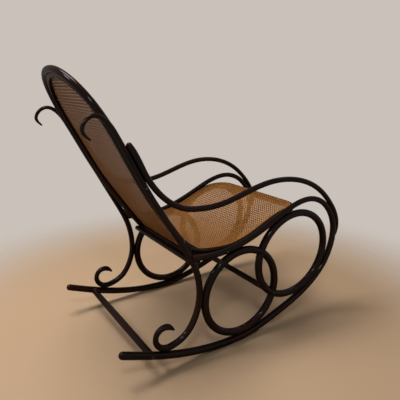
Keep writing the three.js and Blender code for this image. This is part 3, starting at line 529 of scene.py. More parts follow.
rocker = stations_from([
    (0.013, 0.120, 0.96), (0.171, 0.058, 1.00), (0.295, 0.026, 1.00), (0.414, 0.012, 1.00),
    (0.531, 0.017, 1.00), (0.662, 0.052, 0.98), (0.790, 0.101, 0.96), (0.876, 0.154, 0.95),
    (0.934, 0.217, 0.94), (0.966, 0.292, 0.92), (0.969, 0.365, 0.90), (0.942, 0.429, 0.86),
    (0.890, 0.481, 0.82), (0.823, 0.506, 0.80), (0.752, 0.501, 0.78), (0.618, 0.447, 0.78),
    (0.486, 0.396, 0.78), (0.388, 0.379, 0.78)], ROCKER, SIDE_PLANE)
cope_height = START_Z + CURL_END_HEIGHT * FRAME_HEIGHT
cope = post_bend.point(post_bend.place_at(2, cope_height, leg_from, leg_to))
rocker_bend = Bend(rocker + [[cope[0], SIDE_PLANE, cope[2], rocker[-1][3]]])
rise_place, nose_place, curl_place = rocker_bend.places[[5, 10, 13]]
print("post", round(post_bend.reach, 3), "m, rocker and curl", round(rocker_bend.reach, 3), "m")

# %% Arm
ARM = 0.0195
ARM_OFF_POST = 0.00027
ARM_OFF_CURL = 0.0003


def eased(share):
    """A share from 0 to 1 that starts and ends softly."""
    return share * share * (3 - 2 * share)


def scarf_stations(host, rows, start, end, away):
    """Stations of the arm where it lies along another rod, on the side that away points to."""
    made = []
    for up, thick in rows:
        u = host.place_at(2, START_Z + up * FRAME_HEIGHT, start, end)
        radius = thick * ARM / 2
        lift = host.radius(u) + radius + abs(away)
        x, _, z = host.point(u) + host.side_normal(u) * math.copysign(lift, away)
        made.append([x, host.y(u), z, radius])
    return made


arm_rear = scarf_stations(post_bend, [(0.764, 0.96), (0.740, 1.10), (0.705, 1.08), (0.672, 1.00)],
                          hook_end, leg_from, ARM_OFF_POST)
arm_front = scarf_stations(rocker_bend, [(0.420, 0.98), (0.385, 0.96), (0.352, 0.80),
                                         (0.326, 0.50)],
                           rise_place, curl_place, -ARM_OFF_CURL)
arm_sweep = stations_from([
    (0.206, 0.586, 0.96), (0.249, 0.559, 0.98), (0.318, 0.544, 1.00), (0.401, 0.547, 1.00),
    (0.524, 0.579, 1.00), (0.625, 0.600, 1.00), (0.712, 0.598, 1.00), (0.794, 0.577, 1.00),
    (0.870, 0.535, 1.00), (0.936, 0.472, 0.98)], ARM)
for i, station in enumerate(arm_sweep):
    share = eased((i + 1) / len(arm_sweep))
    station[1] = arm_rear[-1][1] + (SIDE_PLANE - arm_rear[-1][1]) * share
arm_bend = Bend(arm_rear + arm_sweep + arm_front)
print("arm", round(arm_bend.reach, 3), "m")

# %% [markdown]
# ## From line to rod
# A rod could be built from a cylinder that an armature bends, or ring by ring in mesh code. A curve
# with a round bevel is the shortest way: Blender sweeps the section, each point has its own
# thickness, and the curve is then made a mesh, so that it can be cut like wood. A few points past
# each end draw the section in, which gives the rod its rounded tip.

# %% Rods as curves
ROD_BEVEL_STEPS = 13
MERGE_UNDER = 0.00001
TIP_TURNS = np.radians((18, 36, 54, 70, 82))


def select_only(piece):
    bpy.ops.object.select_all(action="DESELECT")
    piece.select_set(True)
    bpy.context.view_layer.objects.active = piece


def face_outwards(merge=False):
    """Turns the faces of the active piece outwards, after merging doubled points if asked."""
    bpy.ops.object.mode_set(mode="EDIT")
    bpy.ops.mesh.select_all(action="SELECT")
    if merge:
        bpy.ops.mesh.remove_doubles(threshold=MERGE_UNDER)
    bpy.ops.mesh.normals_make_consistent(inside=False)
    bpy.ops.object.mode_set(mode="OBJECT")


def with_tips(line, radii, at_start=True, at_end=True):
    """Adds a rounded tip to one end of a line or to both."""
    if at_end:
        way = unit(line[-1] - line[-2])
        line = np.vstack([line, line[-1] + np.outer(radii[-1] * np.sin(TIP_TURNS), way)])
        radii = np.concatenate([radii, radii[-1] * np.cos(TIP_TURNS)])
    if at_start:
        line, radii = with_tips(line[::-1], radii[::-1], False, True)
        line, radii = line[::-1], radii[::-1]
    return line, radii


def bend_rod(name, line, radii, closed=False):
    """A round rod along a line of points, with its own radius at each of them."""
    bpy.ops.curve.primitive_bezier_curve_add(location=(0, 0, 0))
    rod = bpy.context.object
    rod.name = name
    rod.data.splines.clear()
    spline = rod.data.splines.new("POLY")
    spline.points.add(len(line) - 1)
    spline.points.foreach_set("co", np.column_stack([line, np.ones(len(line))]).ravel())
    spline.points.foreach_set("radius", radii)
    spline.use_cyclic_u = closed
    rod.data.dimensions = "3D"
    rod.data.bevel_depth = 1
    rod.data.bevel_resolution = ROD_BEVEL_STEPS
    rod.data.use_fill_caps = True
    select_only(rod)
    bpy.ops.object.convert(target="MESH")
    face_outwards(merge=True)
    rod.data.name = name
    return rod


def carve(piece, tool, operation="DIFFERENCE"):
    """Cuts a piece with a tool, or keeps what they share, and throws the tool away."""
    cut = piece.modifiers.new("cut", "BOOLEAN")
    cut.object, cut.operation, cut.solver = tool, operation, "EXACT"
    select_only(piece)
    bpy.ops.object.modifier_apply(modifier=cut.name)
    bpy.data.objects.remove(tool)
    return piece


# %% Straight measure along a rod
LOTS = 60
RIGHT_SIDE_WOOD, RAIL_WOOD = 3.7, 5.1


def travelled(line):
    """The length along a line up to each of its points."""
    return np.concatenate([[0], np.cumsum(np.linalg.norm(np.diff(line, axis=0), axis=1))])


def nearest_on(line, spots):
    """The number of the line's nearest point for each spot, in lots to spare memory."""
    return np.concatenate([((lot[:, None] - line[None]) ** 2).sum(2).argmin(1)
                           for lot in np.array_split(spots, LOTS)])


def lay_mark(mesh, name, values):
    """Gives each point of a mesh three numbers for its finish to read."""
    mesh.attributes.new(name, "FLOAT_VECTOR", "POINT").data.foreach_set("vector", values.ravel())


def lay_grain(piece, line, start, closed=False, across=(0, 1, 0)):
    """Gives each point its length along the line and its two offsets across it."""
    if closed:
        line = np.vstack([line, line[:1]])
    spots = np.empty(len(piece.data.vertices) * 3)
    piece.data.vertices.foreach_get("co", spots)
    spots = spots.reshape(-1, 3)
    nearest = nearest_on(line, spots)
    way = unit(np.gradient(line, axis=0))
    normal = unit(np.cross(way, across))[nearest]
    offset = spots - line[nearest]
    along = travelled(line)[nearest] + (offset * way[nearest]).sum(1) + start
    lay_mark(piece.data, "grain", np.column_stack([
        along, offset @ np.array(across), (offset * normal).sum(1)]))


# %% Finishing a piece
def open_edges(piece):
    """How many edges don't have exactly two faces: none on a closed body."""
    edges = np.zeros(len(piece.data.loops), int)
    piece.data.loops.foreach_get("edge_index", edges)
    return int((np.bincount(edges, minlength=len(piece.data.edges)) != 2).sum())


def settle(piece, finish, node, sharp=35):
    """Smooths a piece, gives it its finish, and puts it in the place of its solid."""
    select_only(piece)
    bpy.ops.object.shade_smooth_by_angle(angle=math.radians(sharp))
    piece.data.materials.clear()
    piece.data.materials.append(finish)
    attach(piece, "root")
    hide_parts(node)
    print(piece.name, len(piece.data.polygons), "faces, open edges", open_edges(piece))


def mirrored(piece, name):
    """The same piece on the other side of the chair, with a mesh of its own."""
    select_only(piece)
    bpy.ops.object.duplicate()
    twin = bpy.context.object
    twin.name = twin.data.name = name
    bpy.ops.transform.resize(value=(1, -1, 1), center_override=(0, 0, 0))
    bpy.ops.object.transform_apply(location=True, rotation=True, scale=True)
    face_outwards()
    return twin


def settle_pair(piece, kind, line, closed=False):
    """Puts a rod on the left side, its mirror image on the right, and lays the grain of both."""
    twin = mirrored(piece, "bent_" + kind + "_right")
    for rod, side, sign, start in ((piece, "left", 1, 0.0), (twin, "right", -1, RIGHT_SIDE_WOOD)):
        lay_grain(rod, line * (1, sign, 1), start, closed)
        settle(rod, stained_beech, kind + "_" + side)


# %% [markdown]
# ## Rocker and curl
# One rod makes the rocker and the curl. The end of the curl is coped: hollowed to fit round the
# post, which a carpenter does with a gouge and we do by taking a slightly grown post away from it.
# The rocker has worn a narrow flat where it stands, so everything below the floor is cut off.

# %% Rocker, post and arm
FLOOR_CUT_NEAR = 0.000001


def line_of(bend):
    u = bend.steps()
    return bend.point(u), bend.radius(u)


post_line, post_radii = with_tips(*line_of(post_bend))
post_rod = bend_rod("bent_post_rod_left", post_line, post_radii)
rocker_line, rocker_radii = with_tips(*line_of(rocker_bend), True, False)
rocker_rod = bend_rod("bent_rocker_rod_left", rocker_line, rocker_radii)
carve(rocker_rod, bend_rod("cope_tool", post_line, post_radii + TOUCH))
select_only(rocker_rod)
bpy.ops.object.mode_set(mode="EDIT")
bpy.ops.mesh.select_all(action="SELECT")
bpy.ops.mesh.bisect(plane_co=(0, 0, 0), plane_no=(0, 0, 1), use_fill=True, clear_inner=True,
                    threshold=FLOOR_CUT_NEAR)
bpy.ops.object.mode_set(mode="OBJECT")
arm_line, arm_radii = with_tips(*line_of(arm_bend))
arm_rod = bend_rod("bent_arm_rod_left", arm_line, arm_radii)
settle_pair(rocker_rod, "rocker_rod", rocker_line)
settle_pair(post_rod, "post_rod", post_line)
settle_pair(arm_rod, "arm_rod", arm_line)

# %% [markdown]
# ## Ring and oval
# The ring fills the space between rocker, curl and post, and the oval sits in the bend of the curl.
# They cross twice in the same plane, so half of each is cut away there: on the outer side the ring
# runs through, on the inner side the oval does. The tool for each cut is the other loop, grown by a
# hair, and kept only on one side of the middle plane by a box.

# %% Ring and oval with half laps
LOOP_RADIUS = 0.0135
LOOP_STEPS = 150
LAP_BOX_HEIGHT, LAP_BOX_SIZE = 0.3, (2, 1, 2)
RING = dict(x=0.46851, z=0.19268, half_long=0.15643, half_tall=0.15422, tilt=0.0)
OVAL = dict(x=0.71489, z=0.27764, half_long=0.17148, half_tall=0.15776, tilt=math.radians(15))


def loop_line(x, z, half_long, half_tall, tilt):
    """A closed ellipse in the side plane, from its lowest point on."""
    angle = np.linspace(0, 2 * math.pi, LOOP_STEPS, endpoint=False) - math.pi / 2
    along, up = half_long * np.cos(angle), half_tall * np.sin(angle)
    return np.column_stack([
        START_X + x + along * math.cos(tilt) - up * math.sin(tilt),
        np.full(LOOP_STEPS, SIDE_PLANE),
        START_Z + z + along * math.sin(tilt) + up * math.cos(tilt)])


def loop_rod(name, line, radius):
    return bend_rod(name, line, np.full(len(line), radius), closed=True)


def lap_tool(line, outer):
    """A grown loop, kept on the outer or the inner side of the side plane by a box."""
    tool = loop_rod("lap_tool", line, LOOP_RADIUS + TOUCH)
    middle = SIDE_PLANE + (1 - TOUCH) / 2 * (1 if outer else -1)
    bpy.ops.mesh.primitive_cube_add(size=1, location=(0, middle, LAP_BOX_HEIGHT))
    box = bpy.context.object
    box.scale = LAP_BOX_SIZE
    return carve(tool, box, "INTERSECT")


ring_line, oval_line = loop_line(**RING), loop_line(**OVAL)
ring = loop_rod("bent_lower_ring_left", ring_line, LOOP_RADIUS)
oval = loop_rod("bent_front_oval_left", oval_line, LOOP_RADIUS)
carve(ring, lap_tool(oval_line, outer=False))
carve(oval, lap_tool(ring_line, outer=True))
settle_pair(ring, "lower_ring", ring_line, closed=True)
settle_pair(oval, "front_oval", oval_line, closed=True)

# %% [markdown]
# ## Frames of back and seat
# The back is one rod bent like a hairpin. Outside it is a round bead, and inside it is planed down
# to a thin band that takes the cane. The seat frame is a flattened rod bent like a U. A curve could
# sweep these sections too, but it turns them as it likes on a line that bows two ways, and the band
# must stay square to the back. So the rings of points are set up here, and skinned ring to ring.

# %% Rail lines in the bowed surfaces
RAIL_STEP = 0.006
TIP_DRAWS_IN = 0.55


def surface_normal(bend, u):
    normal = bend.side_normal(u)
    return normal * np.sign(normal[..., :1] + normal[..., 2:])


def spaced(line, goals):
    """The points of a line at the given lengths along it."""
    length = travelled(line)
    return np.column_stack([np.interp(goals, length, column) for column in line.T])


def even_line(line):
    """The same line again, as points at an even spacing."""
    total = travelled(line)[-1]
    return spaced(line, np.linspace(0, total, round(total / RAIL_STEP) + 1))


def rail_frames(bend, line):
    """Centre, outward and upward directions of a rail whose line is given as side and place."""
    centre = bend.point(line[:, 1])
    centre[:, 1] = line[:, 0]
    up = surface_normal(bend, line[:, 1])
    way = np.gradient(centre, axis=0)
    way = unit(way - up * (way * up).sum(1, keepdims=True))
    return centre, np.cross(up, way), up


def ring_faces(count, sides, first=0):
    """Faces that skin a row of rings of points, with both ends closed."""
    start = first + (np.arange(count - 1) * sides)[:, None]
    j, k = np.arange(sides), (np.arange(sides) + 1) % sides
    walls = np.stack([start + j, start + k, start + sides + k, start + sides + j], -1)
    last = first + (count - 1) * sides
    return walls.reshape(-1, 4).tolist() + [list(range(first, first + sides))[::-1],
                                            list(range(last, last + sides))]


def skinned(name, spots, faces, mark, values):
    """A piece from points and faces, with the measure that its finish reads."""
    mesh = bpy.data.meshes.new(name)
    mesh.from_pydata(spots.tolist(), [], faces)
    lay_mark(mesh, mark, values)
    piece = bpy.data.objects.new(name, mesh)
    bpy.context.scene.collection.objects.link(piece)
    return piece


def sweep_rail(name, frames, outline, pivot, tip):
    """Skins an outline along a rail, and rounds both ends over the length of the tip."""
    centre, out, up = frames
    turns = np.concatenate([TIP_TURNS[::-1], np.zeros(len(centre)), TIP_TURNS])
    row = np.clip(np.arange(len(turns)) - len(TIP_TURNS), 0, len(centre) - 1)
    way = unit(np.gradient(centre, axis=0))[row]
    reach = np.sin(turns) * tip * np.where(np.arange(len(turns)) < len(TIP_TURNS), -1, 1)
    middle = centre[row] + way * reach[:, None]
    shrink = 1 - (1 - np.cos(turns)) * TIP_DRAWS_IN
    shape = pivot + (outline - pivot)[None] * shrink[:, None, None]
    rings = middle[:, None] + out[row][:, None] * shape[..., :1] + up[row][:, None] * shape[..., 1:]
    count, sides = rings.shape[:2]
    along = np.broadcast_to(travelled(middle)[:, None, None], (count, sides, 1))
    rail = skinned(name, rings.reshape(-1, 3), ring_faces(count, sides), "grain",
                   np.concatenate([along, shape], -1))
    select_only(rail)
    face_outwards()
    return rail


# %% Back frame: a line, an outline, and the two together
BAND = 0.011
BAND_ROUNDING = 0.0022
BAND_FACE = (-0.0036, -0.0090)
BEAD_LINE = BACK_WIDTH / 2 - BACK_BEAD / 2
ARCH_FULLNESS = 0.94
BEAD_OPENS_AT = 155
LIMB_POINTS, ARCH_POINTS, BEAD_POINTS = 60, 161, 25
limb_places = np.linspace(0, arch_start, LIMB_POINTS)
left_limb = np.column_stack([LIMB_LINE + flare_at(limb_places), limb_places])
right_limb = left_limb * (-1, 1)
arch_turn = np.linspace(0, math.pi, ARCH_POINTS)[1:-1]
arch_side = np.sign(np.cos(arch_turn)) * np.abs(np.cos(arch_turn)) ** ARCH_FULLNESS
arch = np.column_stack([-(LIMB_LINE + BACK_FLARE) * arch_side,
                        arch_start + BACK_ARCH * np.sin(arch_turn) ** ARCH_FULLNESS])
back_line = even_line(np.vstack([right_limb, arch, left_limb[::-1]]))

bead_turn = np.radians(np.linspace(-BEAD_OPENS_AT, BEAD_OPENS_AT, BEAD_POINTS))
bead_points = np.column_stack([BEAD_LINE + BACK_BEAD / 2 * np.cos(bead_turn),
                               BACK_BEAD / 2 * np.sin(bead_turn)])
band_turn = np.radians((0, 30, 60, 90))
band_corner = np.column_stack([-BACK_WIDTH / 2 + BAND_ROUNDING * (1 - np.sin(band_turn)),
                               BAND / 2 - BAND_ROUNDING * (1 - np.cos(band_turn))])
band_half = np.vstack([[(side, BAND / 2) for side in BAND_FACE], band_corner])
back_outline = np.vstack([bead_points, band_half, band_half[::-1] * (1, -1)])
back_frame = sweep_rail("bent_back_frame", rail_frames(back_bend, back_line), back_outline,
                        np.array([BEAD_LINE, 0]), tip=0.009)
settle(back_frame, stained_beech, "back_frame", sharp=40)

# %% Seat frame
SEAT_CORNER = 0.062
SIDE_POINTS, CORNER_POINTS = 80, 17
SEAT_PLAY = 0.0003
seat_rear_line = LIMB_OUTER + SEAT_PLAY + SEAT_RAIL[0] / 2
seat_front_line = SIDE_PLANE - LOOP_RADIUS - SEAT_PLAY - SEAT_RAIL[0] / 2
seat_corner_start = seat_bend.reach - SEAT_CORNER


def seat_half_width(u):
    narrow, wide = seat_bend.places[2], seat_bend.places[4]
    share = eased(np.clip((u - narrow) / (wide - narrow), 0, 1))
    return seat_rear_line + (seat_front_line - seat_rear_line) * share


side_places = np.linspace(0, seat_corner_start, SIDE_POINTS)
corner_turn = np.linspace(0, math.pi / 2, CORNER_POINTS)[1:]
seat_side = np.vstack([
    np.column_stack([seat_half_width(side_places), side_places]),
    np.column_stack([seat_front_line - SEAT_CORNER * (1 - np.cos(corner_turn)),
                     seat_corner_start + SEAT_CORNER * np.sin(corner_turn)])])
seat_line = even_line(np.vstack([seat_side, seat_side[::-1] * (-1, 1)]))

seat_outline = np.array([
    (0.50, -0.27), (0.50, 0.27), (0.34, 0.44), (0.08, 0.50), (-0.50, 0.38), (-0.50, -0.32),
    (-0.28, -0.50), (0.22, -0.50)]) * SEAT_RAIL
for _ in range(2):
    ahead = np.roll(seat_outline, -1, axis=0)
    corners = np.stack([seat_outline * 0.75 + ahead * 0.25, seat_outline * 0.25 + ahead * 0.75], 1)
    seat_outline = corners.reshape(-1, 2)
seat_frame = sweep_rail("bent_seat_frame", rail_frames(seat_bend, seat_line), seat_outline,
                        np.array([0.0, 0.0]), tip=0.008)
settle(seat_frame, stained_beech, "seat_frame", sharp=40)

# %% [markdown]
# ## Cross rails and stretchers
# These straight rods were turned on a lathe. A turned rod could be a lathe profile, but it is as
# easy by hand: start with a round face at one end, extrude it from station to station, and scale
# the new ring each time to the radius that the profile has there.

# %% Turned rails
ROD_SIDES = 30
GRAIN_REACH, GRAIN_STEPS = 0.3, 80
STRETCHER, SWELLING, SWELL_ROWS = 0.0115, 0.001, 14
TENON = 0.002
BOTTOM_RAIL, LOWER_RAIL, SEAT_REAR_RAIL = 0.0105, 0.009, 0.011
LOWER_RAIL_AT, SEAT_RAIL_AHEAD = (0.0205, -0.0203), 0.0223


def turn_rail(name, x, z, profile):
    """A turned rod along y. The profile is rows of distance from the middle and radius."""
    first, radius = profile[0]
    bpy.ops.mesh.primitive_circle_add(vertices=ROD_SIDES, radius=radius, fill_type="NGON",
                                      location=(x, first, z), rotation=(math.pi / 2, 0, 0))
    rail = bpy.context.object
    rail.name = rail.data.name = name
    bpy.ops.object.transform_apply(location=True, rotation=True, scale=True)
    bpy.ops.object.mode_set(mode="EDIT")
    bpy.ops.mesh.select_all(action="SELECT")
    for (here, thin), (there, thick) in zip(profile, profile[1:]):
        bpy.ops.mesh.extrude_region_move(TRANSFORM_OT_translate={"value": (0, there - here, 0)})
        bpy.ops.transform.resize(value=(thick / thin, 1, thick / thin),
                                 center_override=(x, there, z))
    face_outwards()
    y = np.linspace(-GRAIN_REACH, GRAIN_REACH, GRAIN_STEPS)
    middle_line = np.column_stack([np.full(GRAIN_STEPS, x), y, np.full(GRAIN_STEPS, z)])
    lay_grain(rail, middle_line, RAIL_WOOD + x, across=(1, 0, 0))
    return rail


def both_ways(half):
    """A profile from one end to the other, given from its middle to one end."""
    return [(-y, radius) for y, radius in half[::-1]] + list(half)


def straight(radius, *places):
    return [(y, radius) for y in places]


def round_end(half_length, radius, ease):
    """The last stations of a profile whose end is eased by a rounded edge."""
    return [(half_length - ease * (1 - math.sin(a)), radius - ease * (1 - math.cos(a)))
            for a in np.radians((0, 20, 40, 60, 80, 90))]


def beside_back(u, forward):
    return back_bend.point(u) + surface_normal(back_bend, u) * forward


def under_seat(u):
    """Whether the seat's rear rail, beside this place of the back, is still under the seat."""
    x, _, z = beside_back(u, SEAT_RAIL_AHEAD)
    return z < seat_bend.z(seat_bend.place_at(0, x, 0.0, seat_bend.reach))


bottom_rail = beside_back(BOTTOM_RAIL, 0)
lower_rail = beside_back(*LOWER_RAIL_AT)
seat_rear = beside_back(turning_point(0.0, back_bend.reach / 2, under_seat), SEAT_RAIL_AHEAD)
rear_place = rocker_bend.place_at(0, START_X + 0.111 * FRAME_LENGTH, 0, nose_place)
rear_half = SIDE_PLANE - rocker_bend.radius(rear_place)
swell = [(y, STRETCHER + SWELLING * (math.cos(math.pi * y / rear_half) + 1) / 2)
         for y in np.linspace(0.02, rear_half + TENON, SWELL_ROWS)]
lower_crossing = min((np.hypot(*(oval_line - spot)[:, ::2].T).min(), *spot) for spot in ring_line
                     if spot[2] < START_Z + RING["z"])[1:]
turned = [
    ("rear_stretcher", rocker_bend.point(rear_place), swell),
    ("front_stretcher", lower_crossing, straight(STRETCHER, 0.02, 0.1, 0.2, 0.2474)),
    ("back_bottom_rail", bottom_rail, straight(BOTTOM_RAIL, 0.02, 0.1, 0.1762)),
    ("lower_cross_rail", lower_rail,
     straight(LOWER_RAIL, 0.02, 0.12) + round_end(0.2079, LOWER_RAIL, 0.0035)),
    ("seat_rear_rail", seat_rear, straight(SEAT_REAR_RAIL, 0.02, 0.12, 0.2125)),
]
for node, (x, _, z), half in turned:
    settle(turn_rail("turned_" + node, x, z, both_ways(half)), stained_beech, node)

# %% [markdown]
# ## Screw heads
# Slotted countersunk screws hold the rods where they touch. One head is modelled by hand: a short
# cylinder whose top is inset and raised twice to a low dome, with a slot sawn across it. It is then
# copied to every screw. Each solid of a screw says where its head is: on the axis, at the wide end.

# %% One slotted head
HEAD_RADIUS, HEAD_DEPTH, HEAD_SIDES = 0.0040, 0.003, 28
FACING_UP = 0.9
HEAD_STEPS = ((0.0004, 0.00025), (0.0009, 0.00022), (0.0012, 0.00012))
SAW, SAW_HEIGHT = (0.012, 0.0010, 0.0022), 0.0003
HEAD_SET_IN = 0.0005
SLOT_SEED = 7


def slotted_head():
    bpy.ops.mesh.primitive_cylinder_add(vertices=HEAD_SIDES, radius=HEAD_RADIUS,
                                        depth=HEAD_DEPTH, location=(0, 0, -HEAD_DEPTH / 2))
    head = bpy.context.object
    bpy.ops.object.transform_apply(location=True)
    bpy.ops.object.mode_set(mode="EDIT")
    bpy.ops.mesh.select_all(action="DESELECT")
    bpy.ops.object.mode_set(mode="OBJECT")
    for face in head.data.polygons:
        face.select = face.normal.z > FACING_UP
    bpy.ops.object.mode_set(mode="EDIT")
    for width, rise in HEAD_STEPS:
        bpy.ops.mesh.inset(thickness=width, depth=0)
        bpy.ops.transform.translate(value=(0, 0, rise))
    bpy.ops.object.mode_set(mode="OBJECT")
    bpy.ops.mesh.primitive_cube_add(size=1, location=(0, 0, SAW_HEIGHT))
    saw = bpy.context.object
    saw.scale = SAW
    return carve(head, saw)


def head_place(node):
    """The centre of a screw's head and the way that it faces, from the screw's solid."""
    spots = np.array([vertex.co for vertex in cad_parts[node].data.vertices])
    middle = spots.mean(0)
    axis = np.linalg.svd(spots - middle, full_matrices=False)[2][0]
    along = (spots - middle) @ axis
    width = np.linalg.norm(spots - middle - np.outer(along, axis), axis=1)
    if width[along > 0].max() < width[along < 0].max():
        axis, along = -axis, -along
    return middle + axis * along.max(), axis


screw_head = slotted_head()
slot_turns = np.random.default_rng(SLOT_SEED).uniform(0, math.pi, len(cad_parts))
screws = sorted(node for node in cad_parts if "_screw_" in node)
for node, slot_turn in zip(screws, slot_turns):
    place, axis = head_place(node)
    select_only(screw_head)
    bpy.ops.object.duplicate()
    head = bpy.context.object
    head.name = head.data.name = node.replace("_screw_", "_screw_head_")
    turn = Vector(axis).to_track_quat("Z", "Y").to_matrix() @ Matrix.Rotation(slot_turn, 3, "Z")
    head.matrix_world = Matrix.Translation(place - axis * HEAD_SET_IN) @ turn.to_4x4()
    bpy.ops.object.transform_apply(location=True, rotation=True, scale=True)
    settle(head, screw_steel, node)
bpy.data.objects.remove(screw_head)

# %% [markdown]
# ## Cane weave
# The panels are woven in six ways. Pairs of strands run up the panel and pairs run across it, and
# single strands run both ways on the slant and cut the corners of the squares, so that eight-sided
# holes are left. A picture of the weave would lie flat and show no light through it, so the strands
# are real. Each one is a flat strip with rounded shoulders that goes over and under its neighbours.
# Each starts and ends in a hole in the frame. A helper finds where a straight line enters and
# leaves the outline of the holes, and puts a point at each beat of the weave between them.

# %% Strands between holes
PITCH = 0.011
PAIR = 0.0014
SLANT_BEAT = 0.0019
PAIR_LIFT = 0.00040
SLANT_LIFT = 0.00088
HOLE_CLEAR = 0.0012
LEAST_TURN = 1e-12
STRAND_SEED = 11
rng = np.random.default_rng(STRAND_SEED)


def crossing_span(outline, origin, way):
    """Where a straight line enters and leaves a closed outline, as distances along the line."""
    edge = np.roll(outline, -1, axis=0) - outline
    gap = outline - origin
    turn = way[0] * edge[:, 1] - way[1] * edge[:, 0]
    turn = np.where(np.abs(turn) < LEAST_TURN, LEAST_TURN, turn)
    along = (gap[:, 0] * edge[:, 1] - gap[:, 1] * edge[:, 0]) / turn
    share = (gap[:, 0] * way[1] - gap[:, 1] * way[0]) / turn
    hits = along[(share >= 0) & (share < 1)]
    return (hits.min(), hits.max()) if len(hits) > 1 else None


def strand_between(outline, origin, way, beats, lifts):
    """One strand from hole to hole: rows of side, place, lift and how far it is sunk."""
    span = crossing_span(outline, origin, way)
    if span is None or span[1] - span[0] < PITCH:
        return None
    turns = np.arange(math.floor(span[0] / PITCH) - 1, math.ceil(span[1] / PITCH) + 2) * PITCH
    t = (turns[:, None] + beats).ravel()
    lift = np.tile(lifts, len(turns))
    order = np.argsort(t)
    t, lift = t[order], lift[order]
    inside = (t > span[0] + HOLE_CLEAR) & (t < span[1] - HOLE_CLEAR)
    t = np.concatenate([span[:1], t[inside], span[1:]])
    lift = np.concatenate([[0], lift[inside], [0]])
    spots = np.array(origin) + t[:, None] * np.array(way)
    sunk = np.zeros(len(t))
    sunk[[0, -1]] = 1
    return np.column_stack([spots, lift, sunk])


# %% All strands of a panel
def weave(outline, wave):
    """Three lists of strands: the upright pairs, the level pairs and the slants."""
    low, high = outline.min(0), outline.max(0)
    pair_beats = np.array([-PAIR, PAIR, PITCH / 2])
    slant_beats = np.array([-SLANT_BEAT, SLANT_BEAT, PITCH / 2 - SLANT_BEAT,
                            PITCH / 2 + SLANT_BEAT])
    rising = np.array([-1, 1, 0]) * PAIR_LIFT * wave
    on_top = np.array([1, 1, -1, -1]) * SLANT_LIFT * wave
    upright, level, slants = [], [], []
    for x in np.arange(math.floor(low[0] / PITCH), math.ceil(high[0] / PITCH) + 1) * PITCH:
        for side in (-1, 1):
            upright.append(strand_between(outline, (x + side * PAIR, 0), (0, 1), pair_beats,
                                          -side * rising))
    for u in np.arange(math.floor(low[1] / PITCH), math.ceil(high[1] / PITCH) + 1) * PITCH:
        for side in (-1, 1):
            level.append(strand_between(outline, (0, u + side * PAIR), (1, 0), pair_beats,
                                        side * rising))
    reach = high[0] - low[0]
    starts = np.arange(math.floor((low[1] - reach) / PITCH), math.ceil((high[1] + reach) / PITCH))
    for start in (starts + 0.5) * PITCH:
        for slope in (1, -1):
            slants.append(strand_between(outline, (0, start), (1, slope), slant_beats,
                                         slope * on_top))
    return [[run for run in family if run is not None] for family in (upright, level, slants)]


# %% Strands as flat strips
STRAND_THICK = 0.00076
CANE_LENGTH = 9
STRAND_SECTION = np.array([(-0.5, -0.4), (0.5, -0.4), (0.42, 0.1), (0, 0.5), (-0.42, 0.1)])


def strips(name, runs, width, thick=STRAND_THICK):
    """Flat strips with rounded shoulders along runs of points with the surface's normals."""
    sides = len(STRAND_SECTION)
    across_share, up_share = STRAND_SECTION[:, :1] * width, STRAND_SECTION[:, 1:] * thick
    spots, faces, marks, base = [], [], [], 0
    for points, normals in runs:
        way = unit(np.gradient(points, axis=0))
        across = unit(np.cross(normals, way))
        up = np.cross(way, across)
        count = len(points)
        spots.append(points[:, None] + across[:, None] * across_share + up[:, None] * up_share)
        faces += ring_faces(count, sides, base)
        length = travelled(points) + rng.uniform(0, CANE_LENGTH)
        marks.append(np.column_stack([
            np.repeat(length, sides), np.tile(STRAND_SECTION[:, 0] * 2, count),
            np.full(count * sides, rng.uniform(0, 1))]))
        base += count * sides
    return skinned(name, np.concatenate(spots).reshape(-1, 3), faces, "strand",
                   np.concatenate(marks))


def body_volume(piece):
    """The volume that a closed mesh holds: above nothing when its faces point outwards."""
    body = bmesh.new()
    body.from_mesh(piece.data)
    volume = body.calc_volume(signed=True)
    body.free()
    return volume


# %% [markdown]
# ## Panels
# A panel is described in the flat, as side and place along the bend, and is then laid on the bent
# surface. Near the rail the strands rise from the panel to the rail's face, and over a cross rail
# they follow its round back. The seat sags a little in its middle, as used cane does.

# %% From the flat to the chair
EDGE_RISE_OVER = 0.006
OVER_RAIL = 0.0004
HOLE_SINK = 0.0022
LAYERS = (0.0, 0.0009, 0.0018)


def outward_of(line):
    """The directions away from the panel at each point of a rail's line."""
    way = unit(np.gradient(line, axis=0))
    out = np.column_stack([-way[:, 1], way[:, 0]])
    return out if ((line - line.mean(0)) * out).sum() > 0 else -out


